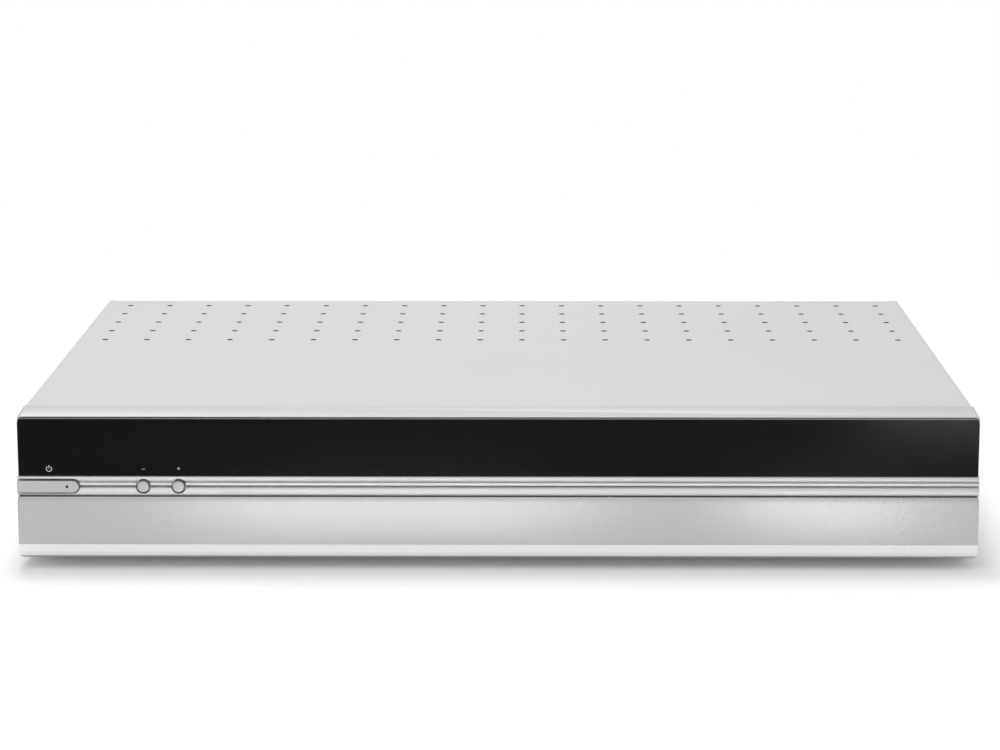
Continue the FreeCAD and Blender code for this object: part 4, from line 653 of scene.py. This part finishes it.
def strip_curve():
    """Height up the strip and depth of its face: a full bead, a deep groove, a small lip and a
    flute."""
    curve = np.concatenate([
        arc(36.5, 2.0, 2.3, 1.62, -88, 0, 18),
        arc(36.5, 2.6, 1.95, 2.22, 3, 86, 18),
        np.array([[38.5, 3.9], [39.1, 3.9]]),
        arc(39.75, 1.3, 0.62, 0.16, -80, 62, 12),
        np.array([[40.45, 2.1], [40.62, 2.3]]),
        arc(41.95, 2.75, 1.35, 1.5, -72, 88, 22),
    ])
    curve = curve[np.argsort(curve[:, 0], kind="stable")]
    keep = np.concatenate([[True], np.diff(curve[:, 0]) > POINTS_APART])
    curve = curve[keep]
    curve[0, 0], curve[-1, 0] = STRIP_LOW, STRIP_HIGH
    return curve[:, 0], curve[:, 1]


strip_z, strip_y = strip_curve()
print("points up the strip:", len(strip_z))

# %% [markdown]
# ## Stretches of the strip
# The strip is pierced for the keys. A plain stretch is a simple grid. Round a key the grid gives
# way to rings that start on the edge of the hole and spread to the edges of the stretch, which
# keeps the hole clean and the flutes unbroken.

# %% Plain stretches and round holes
KEY_Z, KEY_HOLE, KEY_X = 38.8, 3.42, (-160.3, -144.3)
PATCH_REACH, RINGS = 5.2, 14


def strip_face(x, z):
    """Depth of the strip's face at a place, with its two ends rounded off."""
    return np.interp(z, strip_z, strip_y) + edge_drop(HALF - np.abs(x), STRIP_END)


def plain_run(start, end, count):
    """A plain stretch of the strip from start to end, with closer points at the strip's own end."""
    x = np.linspace(start, end, count)
    if end >= HALF:
        x = np.concatenate([x[:-1], HALF - STRIP_END * (1 - np.sin(np.linspace(0, QUARTER, 6)))])
    x, z = np.meshgrid(x, strip_z, indexing="ij")
    return patch(x, strip_face(x, z), z)


def round_hole(centre):
    """The stretch around a key: rings from the hole's circle out to the stretch's own edges."""
    left, right = centre - PATCH_REACH, centre + PATCH_REACH
    along = np.linspace(left, right, 13)
    low, high = np.full_like(along, STRIP_LOW), np.full_like(along, STRIP_HIGH)
    at_left, at_right = np.full_like(strip_z, left), np.full_like(strip_z, right)
    rim_x = np.concatenate([along, at_right, along[::-1], at_left])
    rim_z = np.concatenate([low, strip_z, high, strip_z[::-1]])
    rim_x, rim_z = np.append(rim_x, rim_x[0]), np.append(rim_z, rim_z[0])
    angle = np.arctan2(rim_z - KEY_Z, rim_x - centre)
    mix = np.linspace(0, 1, RINGS)[:, None]
    x = (1 - mix) * (centre + KEY_HOLE * np.cos(angle)) + mix * rim_x
    z = (1 - mix) * (KEY_Z + KEY_HOLE * np.sin(angle)) + mix * rim_z
    return patch(x, strip_face(x, z), z)


# %% [markdown]
# ## The standby key's slot
# The standby key is a bar that runs out through the strip's left-hand end. Its slot is made of
# rings too, but their inner edge is straight, then half round, then straight again.

# %% Open slot
SLOT_HALF, SLOT_END, SLOT_REACH = 3.4, -188.9, 5.0


def end_slot(stop):
    """The stretch around the standby bar's slot, which is open at the left: rings from the slot's
    edge (straight, half circle, straight) out to the stretch's own edges."""
    straight = np.linspace(-HALF, SLOT_END - SLOT_HALF, 8)
    middle = straight[-1]
    side = strip_z[(strip_z > STRIP_LOW) & (strip_z < STRIP_HIGH)]
    past = np.linspace(middle, stop, 8)[1:]
    side_x = np.full(len(side), stop)
    rim_x = np.concatenate([straight, past, side_x, past[::-1], straight[::-1]])
    flat = np.ones(len(straight) + len(past))
    rim_z = np.concatenate([flat * STRIP_LOW, side, flat * STRIP_HIGH])
    angle = np.arctan2(rim_z - KEY_Z, np.maximum(rim_x - middle, 0))
    rounded = rim_x > middle
    edge_x = np.where(rounded, middle + SLOT_HALF * np.cos(angle), rim_x)
    straight_z = KEY_Z + SLOT_HALF * np.sign(rim_z - KEY_Z)
    edge_z = np.where(rounded, KEY_Z + SLOT_HALF * np.sin(angle), straight_z)
    mix = np.linspace(0, 1, RINGS)[:, None]
    x = (1 - mix) * edge_x + mix * rim_x
    z = (1 - mix) * edge_z + mix * rim_z
    return patch(x, strip_face(x, z), z)


# %% [markdown]
# ## The fluted strip
# Now the strip is its stretches side by side: the open slot of the standby bar, the two round
# holes, and plain runs between and after them. Their edges share the same points, so merging
# them leaves no seam.

# %% Fluted strip
slot_stop = SLOT_END + SLOT_REACH
runs = [end_slot(slot_stop), round_hole(KEY_X[0]), round_hole(KEY_X[1])]
runs.append(plain_run(slot_stop, KEY_X[0] - PATCH_REACH, 5))
runs.append(plain_run(KEY_X[0] + PATCH_REACH, KEY_X[1] - PATCH_REACH, 4))
runs.append(plain_run(KEY_X[1] + PATCH_REACH, HALF, 40))
build("fluted_strip", runs, fascia_paint, SET, ["trim_strip"], MOULDING_BACK, sharp=50)

# %% [markdown]
# ## The lower panel
# This is a wide flat moulding with soft edges, a crease near its foot and a foot that rolls under.
# It is a grid whose width follows the rounded corners: a point's place across is a share of the
# half width at its own height, and the depth falls away within a fraction of a millimetre of the
# edge.

# %% Lower panel
PANEL_LOW, PANEL_HIGH, PANEL_EDGE, PANEL_END, PANEL_CORNERS = 5.0, 34.06, 0.2, 0.5, (2.1, 1.0)
ROLL_HIGH, ROLL_DEEP, ROLL_POWERS, FOOT_DEPTH = 2.9, 3.7, (1.6, 0.62), 4.4
END_REACH = 0.006
BAND_Z = (8.6, 9.8, 11.0, 11.55, CREASE, 12.2)
BAND_Y = (0.55, 0.36, 0.18, 0.08, 0.02, 0.0)


def corner_inset(z, low, high, low_radius, high_radius):
    """How much narrower an outline with round corners is at height z than at its middle."""
    below = np.clip(low_radius - (z - low), 0, low_radius)
    over = np.clip(high_radius - (high - z), 0, high_radius)
    low_inset = low_radius - np.sqrt(low_radius ** 2 - below ** 2)
    high_inset = high_radius - np.sqrt(high_radius ** 2 - over ** 2)
    return low_inset + high_inset


def lower_panel_patch():
    """Height and depth along the panel's section (rolled foot, leaning band, crease, flat face,
    soft top edge), carried across the set."""
    roll = np.linspace(0, 1, 9)
    foot_z = PANEL_LOW + ROLL_HIGH * roll ** ROLL_POWERS[0]
    foot_y = FOOT_DEPTH - ROLL_DEEP * roll ** ROLL_POWERS[1]
    top_z = PANEL_HIGH - PANEL_EDGE * (1 - np.sin(np.linspace(0.1, QUARTER, 7)))
    flat_z = np.concatenate([np.linspace(12.6, 31, 12), top_z])
    z = np.concatenate([foot_z, BAND_Z, flat_z])
    y = np.concatenate([foot_y, BAND_Y, edge_drop(PANEL_HIGH - flat_z, PANEL_EDGE)])
    share = towards_ends(-1.0, 1.0, 60, 9, END_REACH)
    share, z = np.meshgrid(share, z, indexing="ij")
    half = HALF - corner_inset(z, PANEL_LOW, PANEL_HIGH, *PANEL_CORNERS)
    x = share * half
    return patch(x, np.maximum(y[None, :], 0) + edge_drop(half - np.abs(x), PANEL_END), z)


panel = [lower_panel_patch()]
build("lower_fascia", panel, panel_paint, SET, ["lower_panel"], MOULDING_BACK, sharp=50)

# %% [markdown]
# ## The window
# The pane is made in the same way as the panel, with rounder upper corners and a wider bevel at
# its top and ends, where the real pane catches a thin line of light.

# %% Window
GLASS_HALF, GLASS_LOW, GLASS_HIGH, GLASS_FACE = 217.0, 43.4, 70.15, 2.0
GLASS_BEVEL, GLASS_FOOT, GLASS_TOP, GLASS_CORNERS = 0.6, 0.15, 0.8, (0.3, 2.1)


def window_patch():
    """A flat pane whose top and ends fall back by a soft bevel."""
    bevel = GLASS_HIGH - GLASS_LOW - GLASS_TOP * (1 - np.sin(np.linspace(0, QUARTER, 10)))
    rise = np.concatenate([[0, 0.12, 0.3], np.linspace(1.0, 24.0, 16), bevel])
    share = towards_ends(-1.0, 1.0, 60, 12, END_REACH)
    share, z = np.meshgrid(share, GLASS_LOW + rise, indexing="ij")
    half = GLASS_HALF - corner_inset(z, GLASS_LOW, GLASS_HIGH, *GLASS_CORNERS)
    x = share * half
    near = np.minimum(half - np.abs(x), GLASS_HIGH - z)
    drop = edge_drop(near, GLASS_BEVEL) + edge_drop(z - GLASS_LOW, GLASS_FOOT)
    return patch(x, GLASS_FACE + drop, z)


glass = [window_patch()]
pane = build("smoked_pane", glass, window_black, SET, ["display_window"], MOULDING_BACK, sharp=60)

# %% [markdown]
# ## Turned shapes
# A key, a foot or a socket is turned: it needs only its outline, a radius and a depth or height
# along it, swept round an axis. Blender's Screw modifier does the same, but an array keeps the
# axis and the outline in one place.

# %% Turned shapes


def swept(outline, count):
    """An outline of (radius, place along the axis) swept round the axis: two grids of distances
    across it, and the places along it."""
    radius, along = np.array(outline, dtype=float).T[:, :, None]
    turn = np.linspace(0, 2 * math.pi, count + 1)[None, :]
    return radius * np.cos(turn), radius * np.sin(turn), along


def turned(outline, x, z, count=48):
    """An outline of (radius, depth) round an axis that runs back through (x, z)."""
    across, up, depth = swept(outline, count)
    return patch(x + across, depth, z + up)


def lathed(outline, x, y, count=48):
    """An outline of (radius, height) round an upright axis at (x, y)."""
    across, deep, height = swept(outline, count)
    return patch(x + across, y + deep, height)


# %% [markdown]
# ## Channel keys
# The two channel keys are little caps with a slightly domed face and a rounded rim. A turned
# outline is enough for both, and each rides on its own body, so that it can be pressed.

# %% Channel keys
CAP_RADIUS, CAP_FACE, CAP_BACK, CAP_RIM, CAP_DOME = 2.6, -0.6, 8.2, 0.5, 0.1


def cap_outline():
    """A slightly domed face, a rounded rim and a straight skirt."""
    flat = CAP_RADIUS - CAP_RIM
    crown = [(r, CAP_FACE + CAP_DOME * (r / flat) ** 2) for r in np.linspace(0, flat, 6)]
    shoulder = CAP_FACE + CAP_DOME
    turn = np.linspace(0, QUARTER, 8)[1:]
    edge = [(flat + CAP_RIM * math.sin(a), shoulder + CAP_RIM * (1 - math.cos(a))) for a in turn]
    return crown + edge + [(CAP_RADIUS, CAP_BACK), (0, CAP_BACK)]


for name, x in zip(("channel_down", "channel_up"), KEY_X):
    cap = [turned(cap_outline(), x, KEY_Z)]
    build(f"{name}_cap", cap, button_paint, f"{name}_key", [f"{name}_button"])

# %% [markdown]
# ## The standby key
# The standby key is a long bar whose right-hand end is half round. Its skirt is kept shallow, so
# that it stays clear of the fascia when it is pressed, and a short round stem joins it to the
# plunger behind. A dark dot near its end is the lens of the lamp.

# %% Standby key
BAR_END, BAR_HALF, BAR_FACE, BAR_BACK, BAR_EDGE = -189.4, 2.9, -0.4, 4.0, 0.55
STANDBY_X, STEM_RADIUS, STEM_FRONT, STEM_BACK = -203.0, 1.9, 3.9, 11.4
BAR_UPPER, LEFT_ROUND, LEFT_PLAIN, LENS_X = 0.92, 0.5, 3.0, -194.7


def standby_patch():
    """The bar's face: its half height is constant and then follows a half circle to the tip, and
    its depth falls back near the edge. The upper half is a little flatter than the lower."""
    centre = BAR_END - BAR_HALF
    left = -HALF + LEFT_ROUND * (1 - np.cos(np.linspace(0, QUARTER, 7)))
    tip = centre + BAR_HALF * np.sin(np.linspace(0, QUARTER, 22))[1:]
    x = np.concatenate([left, np.linspace(-HALF + LEFT_PLAIN, centre, 10), tip])
    half = np.sqrt(np.maximum(BAR_HALF ** 2 - np.maximum(x - centre, 0) ** 2, 0))
    share = np.sin(np.linspace(-QUARTER, QUARTER, 25))
    x, share = np.meshgrid(x, share, indexing="ij")
    rise = share * half[:, None]
    past = np.maximum(x - centre, 0)
    near = np.minimum(BAR_HALF - np.sqrt(past ** 2 + rise ** 2), x + HALF)
    z = KEY_Z + rise * np.where(rise > 0, BAR_UPPER, 1.0)
    return patch(x, BAR_FACE + edge_drop(np.maximum(near, 0), BAR_EDGE), z)


stem_outline = [(0, STEM_FRONT), (STEM_RADIUS, STEM_FRONT), (STEM_RADIUS, STEM_BACK), (0, STEM_BACK)]
bar = [standby_patch(), turned(stem_outline, STANDBY_X, KEY_Z, 24)]
build("standby_bar_cap", bar, button_paint, "standby_bar", ["standby_button"], BAR_BACK, sharp=50)
lens_outline = [(0, -0.46), (0.5, -0.44), (0.8, -0.38), (0.9, -0.25), (0.9, 4.0), (0, 4.0)]
lens = [turned(lens_outline, LENS_X, KEY_Z, 32)]
build("standby_lamp_lens", lens, dark_lens, "standby_bar", ["standby_light_guide"])

# %% [markdown]
# ## Feet
# The set rests on four moulded rubber feet, each with a round dish for its screw. Small round
# pieces catch the light in a way that flat-sided ones do not, so the feet are turned again.

# %% Feet
FEET = [(x, y) for x in (-180.0, 180.0) for y in (48.0, 262.0)]
FOOT_SEAT = 2.4
foot_outline = [
    (4.2, FOOT_SEAT), (4.2, 0.35), (4.4, 0.08), (4.8, 0.0), (8.3, 0.0), (9.1, 0.12), (9.6, 0.5),
    (9.8, 1.1), (9.8, 4.6), (9.7, 5.2), (9.3, 5.45), (1.9, 5.45), (1.9, FOOT_SEAT), (4.2, FOOT_SEAT),
]
feet = [lathed(foot_outline, x, y) for x, y in FEET]
build("rounded_feet", feet, rubber, stands_for=["rubber_feet"], sharp=40)

# %% [markdown]
# ## Screw heads
# Screws hold the cover, the back, the fan and the feet. A pan head with a cross recess is a height
# over a disc, so the dome and the cross are one formula, and a loop over the screws' places sets
# each head down where its shank is.

# %% Screw heads
HEAD_RADIUS, HEAD_HEIGHT = 2.9, 1.8
CROSS_DEPTH, CROSS_HALF, CROSS_SLOPE, CROSS_REACH, CROSS_FADE = 1.1, 0.42, 0.16, 1.9, 0.9
LIP_BACK, REAR_FACE = 301.0, 300.1
FAN_X, FAN_Z, FAN_SCREW = -100.0, 37.5, 20
REAR_SCREWS = [(x, LIP_BACK, 66.2) for x in (-196.0, 0.0, 196.0)]
REAR_SCREWS += [(x, REAR_FACE, 9.3) for x in (-205.0, 0.0, 205.0)]
corners = [(i, j) for i in (-FAN_SCREW, FAN_SCREW) for j in (-FAN_SCREW, FAN_SCREW)]
REAR_SCREWS += [(FAN_X + i, REAR_FACE, FAN_Z + j) for i, j in corners]
FOOT_SCREWS = [(x, y, FOOT_SEAT) for x, y in FEET]


def pan_head(spot, down):
    """A pan head as a height over a disc: a flattened dome, less a cross whose depth falls to
    nothing at the ends of its two arms. down picks a head that points down and not back."""
    share, turn = np.meshgrid(np.linspace(0, 1, 22), np.linspace(0, 2 * math.pi, 49), indexing="ij")
    radius = HEAD_RADIUS * np.sin(share * QUARTER)
    dome = HEAD_HEIGHT * (1 - (radius / HEAD_RADIUS) ** 4) ** 0.5
    a, b = radius * np.cos(turn), radius * np.sin(turn)
    arm = np.minimum(np.abs(a), np.abs(b))
    reach = np.maximum(np.abs(a), np.abs(b))
    cross = np.clip((CROSS_HALF - arm) / CROSS_SLOPE, 0, 1)
    cross *= np.clip((CROSS_REACH - reach) / CROSS_FADE, 0, 1)
    height = dome - CROSS_DEPTH * cross
    x, y, z = spot
    return patch(x + a, y + b, z - height) if down else patch(x + a, y + height, z + b)


rear_heads = [pan_head(spot, False) for spot in REAR_SCREWS]
build("rear_screw_heads", rear_heads, screw_metal, stands_for=["case_screws"], sharp=60)
foot_heads = [pan_head(spot, True) for spot in FOOT_SCREWS]
build("foot_screw_heads", foot_heads, screw_metal, stands_for=["foot_screws"], sharp=60)

# %% [markdown]
# ## Dish sockets
# The four inputs for the dish are threaded barrels that a screw-on plug grips. A true helix would
# cost many faces for little gain: rings one pitch apart look the same from any distance at which
# the whole socket is seen.

# %% Dish sockets
DISH_X, DISH_Z = (130.5, 149.5, 177.5, 196.5), 25.5
BARREL, ROOT, THREAD_PITCH, THREAD_DEPTH = 4.7, 4.15, 0.79, 0.32
THREAD_START, THREAD_END = 302.8, 309.6


def threaded_barrel(x):
    """Radius along the barrel: a saw of ridges one pitch apart between a plain root and tip."""
    depth = np.linspace(THREAD_START, THREAD_END, 62)
    ridge = np.abs(((depth / THREAD_PITCH) % 1) - 0.5) * 2
    radius = BARREL - THREAD_DEPTH * ridge
    outline = [(0, 297.2), (5.9, 297.2), (5.9, 298.9), (ROOT, 298.9), (ROOT, 302.6), (BARREL, 302.7)]
    outline += list(zip(radius, depth))
    outline += [(4.1, 310.05), (1.5, 310.1), (1.3, 309.8), (0.75, 309.7), (0.75, 304.5), (0, 304.5)]
    return turned(outline, x, DISH_Z)


barrels = [threaded_barrel(x) for x in DISH_X]
build("threaded_dish_sockets", barrels, tin, stands_for=["aerial_sockets"], sharp=25)

# %% [markdown]
# ## Phono sockets
# A phono socket is a thin metal sleeve round a coloured plug of plastic with a hole in its middle.
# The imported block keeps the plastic. Only the sleeve, the ring of the inner contact and the
# coloured collar at the foot are added over it, as turned rings.

# %% Phono sockets
sleeve = [
    (4.16, 301.8), (4.24, 301.9), (4.26, 309.0), (4.2, 309.2), (3.6, 309.25), (3.5, 309.2),
    (3.5, 309.05), (4.16, 309.0), (4.16, 301.8),
]
contact = [
    (2.0, 309.05), (2.0, 309.2), (1.9, 309.28), (1.5, 309.28), (1.35, 309.1), (1.35, 305.0),
    (2.0, 305.0), (2.0, 309.05),
]
collar = [(4.2, 300.15), (5.0, 300.15), (5.0, 301.5), (4.85, 301.8), (4.2, 301.9), (4.2, 300.15)]
sleeves = [turned(outline, PHONO_X, z) for z in PHONO_Z for outline in (sleeve, contact)]
build("phono_sleeves", sleeves, tin, sharp=40)
collars = [turned(collar, PHONO_X, z) for z in PHONO_Z]
build("phono_collars", collars, phono_finish, sharp=40)

# %% [markdown]
# ## Printed marks
# Over the keys the pane carries small pale signs. The minus and the plus are letters of Blender's
# own font, made a mesh like every other piece before they are moved. The standby sign is no
# letter, so it is drawn as an open ring and a bar.

# %% Printed marks
MARK_Z, MARK_SIZE, INK, INK_DEPTH = 46.6, 3.0, 0.02, 0.04
RING_RADIUS, STROKE_HALF, RING_FROM, RING_TO = 1.2, 0.16, 125, 415
STROKE_FOOT, STROKE_PAST = 0.1, 0.5


def printed(name, sign, x):
    """A letter as a thin flat mesh on the pane, facing forward."""
    letter = bpy.data.curves.new(name, "FONT")
    letter.body, letter.size = sign, MARK_SIZE * MM
    letter.align_x, letter.align_y = "CENTER", "CENTER"
    letter.extrude = INK * MM
    carrier = bpy.data.objects.new(name, letter)
    bpy.context.scene.collection.objects.link(carrier)
    bpy.context.view_layer.update()
    mesh = bpy.data.meshes.new_from_object(carrier)
    bpy.data.objects.remove(carrier)
    mesh.transform(Euler((QUARTER, 0, 0)).to_matrix().to_4x4())
    mesh.transform(Matrix.Translation((x * MM, (GLASS_FACE - INK + FACE_Y) * MM, MARK_Z * MM)))
    add(name, mesh, print_grey)


def standby_mark(x, z):
    """The usual standby sign: an open ring, as a band of angles, and an upright bar."""
    depth = GLASS_FACE - INK_DEPTH
    turn = np.linspace(math.radians(RING_FROM), math.radians(RING_TO), 40)[None, :]
    wide = np.array([[RING_RADIUS - STROKE_HALF], [RING_RADIUS + STROKE_HALF]])
    ring = patch(x + wide * np.cos(turn), depth, z + wide * np.sin(turn))
    bar_x = x + np.array([[-STROKE_HALF, STROKE_HALF]] * 2)
    bar_z = z + np.array([[STROKE_FOOT] * 2, [RING_RADIUS + STROKE_PAST] * 2])
    return [ring, patch(bar_x, depth, bar_z)]


printed("minus_mark", "–", KEY_X[0])
printed("plus_mark", "+", KEY_X[1])
build("standby_mark", standby_mark(STANDBY_X, MARK_Z), print_grey, back=GLASS_FACE + INK)

# %% [markdown]
# ## Floor
# The set stands on a pale matt floor that keeps only the soft shadow at its foot. A real studio
# curves the paper up behind the object. Here the floor thins out to nothing a short way from the
# set instead, so that it has no visible end from any side.

# %% Floor
FLOOR_HALF, FADE_FROM, FADE_TO = 6000, 0.38, 0.8


def floor_material():
    """A white matt floor that thins out far from the set, so that it has no visible end."""
    paint = Paint("white_floor", Roughness=0.9, Specular_IOR_Level=0.0)
    paint.set(Base_Color=paint.between(paint.noise(2.0), (0.955, 0.955, 0.955), (0.975, 0.975, 0.975)))
    away = paint.node("ShaderNodeVectorMath", {"operation": "LENGTH"}, {0: paint.place()}, output=1)
    fade = {0: away, 1: FADE_FROM, 2: FADE_TO, 3: 1.0, 4: 0.0}
    paint.set(Alpha=paint.node("ShaderNodeMapRange", {"interpolation_type": "SMOOTHSTEP"}, fade))
    return paint.material


span = np.linspace(-FLOOR_HALF, FLOOR_HALF, 9)
floor_x, floor_y = np.meshgrid(span, span, indexing="ij")
floor_mesh = to_mesh("floor", [patch(floor_x, floor_y, 0.0)])
if floor_mesh.polygons[0].normal.z < 0:
    floor_mesh.flip_normals()
floor = bpy.data.objects.new("floor", floor_mesh)
floor_mesh.materials.append(floor_material())
bpy.context.scene.collection.objects.link(floor)
print("floor faces:", len(floor_mesh.polygons))

# %% [markdown]
# ## White surroundings
# The background of the picture is pure white, yet white light from all sides would wash the set
# out. The world is therefore full white where the camera sees it, and dimmer as a source of light
# and in reflections.

# %% World
WORLD_LEVEL = 0.64


def studio_world():
    """A world whose strength is 1 for rays from the camera, straight or through glass, and
    WORLD_LEVEL for all others."""
    world = bpy.data.worlds.new("studio")
    world.use_nodes = True
    nodes, links = world.node_tree.nodes, world.node_tree.links
    background = nodes["Background"]
    background.inputs["Color"].default_value = (1, 1, 1, 1)
    path = nodes.new("ShaderNodeLightPath")
    seen = nodes.new("ShaderNodeMath")
    seen.operation = "MAXIMUM"
    links.new(path.outputs["Is Camera Ray"], seen.inputs[0])
    links.new(path.outputs["Is Transmission Ray"], seen.inputs[1])
    level = nodes.new("ShaderNodeMapRange")
    level.inputs["To Min"].default_value = WORLD_LEVEL
    level.inputs["To Max"].default_value = 1.0
    links.new(seen.outputs[0], level.inputs["Value"])
    links.new(level.outputs[0], background.inputs["Strength"])
    return world


bpy.context.scene.world = studio_world()
print("world:", bpy.context.scene.world.name)

# %% [markdown]
# ## Soft boxes
# A studio lights such a set with broad soft boxes. One to the front left and above gives the shape,
# a small one straight above gives the shadow at the foot, one behind lifts the cover, and a
# low one in front fills the face. Area lamps do this, and none of them is seen by the camera.

# %% Soft boxes


def soft_box(name, at, aim, size, power):
    """A rectangular lamp at a point in metres, turned to face aim. Its power is in watts."""
    lamp = bpy.data.lights.new(name, "AREA")
    lamp.shape, lamp.energy = "RECTANGLE", power
    lamp.size, lamp.size_y = size
    holder = bpy.data.objects.new(name, lamp)
    holder.location = at
    away = np.array(at) - np.array(aim)
    yaw = math.atan2(away[0], -away[1])
    pitch = math.atan2(math.hypot(away[0], away[1]), away[2])
    holder.rotation_euler = Euler((pitch, 0, yaw))
    holder.visible_camera = False
    bpy.context.scene.collection.objects.link(holder)
    return holder


soft_box("key_box", (-0.4, -1.5, 2.0), (0, 0, 0), (1.6, 1.2), 6.0)
soft_box("top_box", (-0.12, 0.26, 1.5), (-0.12, 0.26, 0), (0.5, 0.5), 9.0)
soft_box("back_box", (-0.30, 1.15, 1.9), (0, 0, 0), (1.2, 0.8), 5.0)
soft_box("front_fill", (-0.2, -1.9, 0.45), (0, -0.2, 0), (1.2, 0.5), 3.0)
print("lamps:", len(bpy.data.lights))

# %% [markdown]
# ## Patches of light on the floor
# The lower panel mirrors the floor just in front of it. Two lamps above, each with a narrow beam,
# brighten that floor in places, and the panel shows them as broad soft bands.

# %% Floor patches
GLOW_Y, GLOW_HIGH, GLOW_DEEP, GLOW_SPREAD = -0.29, 0.5, 0.07, 14
for label, x, wide, power in (("glow_left", -0.055, 0.16, 0.15), ("glow_right", 0.162, 0.035, 0.07)):
    glow = soft_box(label, (x, GLOW_Y, GLOW_HIGH), (x, GLOW_Y, 0), (wide, GLOW_DEEP), power)
    glow.data.spread = math.radians(GLOW_SPREAD)
print("lamps:", len(bpy.data.lights))

# %% [markdown]
# ## Lamps for one piece alone
# The dark window mirrors a soft light at its right-hand end, and the floor under the front edge
# is less dark than the set's own shadow would make it. One lamp does each of these, and light
# linking keeps it off every other piece.

# %% Linked lamps


def only_on(lamp, piece):
    """Let a lamp light one piece alone."""
    lit = bpy.data.collections.new(lamp.name + "_only")
    lit.objects.link(piece)
    lamp.light_linking.receiver_collection = lit


only_on(soft_box("window_sheen", (0.245, -0.37, 0.05), (0.19, -0.153, 0.06), (0.10, 0.06), 0.25), pane)
only_on(soft_box("under_fill", (0, -1.6, 0.22), (0, -0.15, 0), (1.6, 0.14), 8.0), floor)
print("lamps:", len(bpy.data.lights))

# %% [markdown]
# ## Camera
# The camera was found from the photograph: the cover's edges and the grid of vents give its place,
# its tilt and its focal length, here in pixels of a picture 1000 pixels wide. The Standard view
# transform keeps whites and greys as they are lit.

# %% Camera
PICTURE_WIDE, FOCAL_PIXELS, SENSOR = 1000.0, 2962.5, 36.0
CAMERA_X, CAMERA_Y, CAMERA_Z = 12.94, -1301.9, 351.2
LOOK_DOWN, LOOK_LEFT, LEAN = 11.326, 0.52, -0.055
camera_data = bpy.data.cameras.new("camera")
camera_data.sensor_width, camera_data.lens = SENSOR, FOCAL_PIXELS * SENSOR / PICTURE_WIDE
camera_data.clip_end = 50.0
camera = bpy.data.objects.new("camera", camera_data)
camera.location = (CAMERA_X * MM, (CAMERA_Y + FACE_Y) * MM, CAMERA_Z * MM)
look = Euler((math.radians(90 - LOOK_DOWN), 0, math.radians(LOOK_LEFT))).to_matrix()
camera.rotation_euler = (look @ Matrix.Rotation(math.radians(LEAN), 3, "Z")).to_euler()
bpy.context.scene.collection.objects.link(camera)
bpy.context.scene.camera = camera
bpy.context.scene.view_settings.view_transform = "Standard"
print("lens:", round(camera_data.lens, 2), "mm")
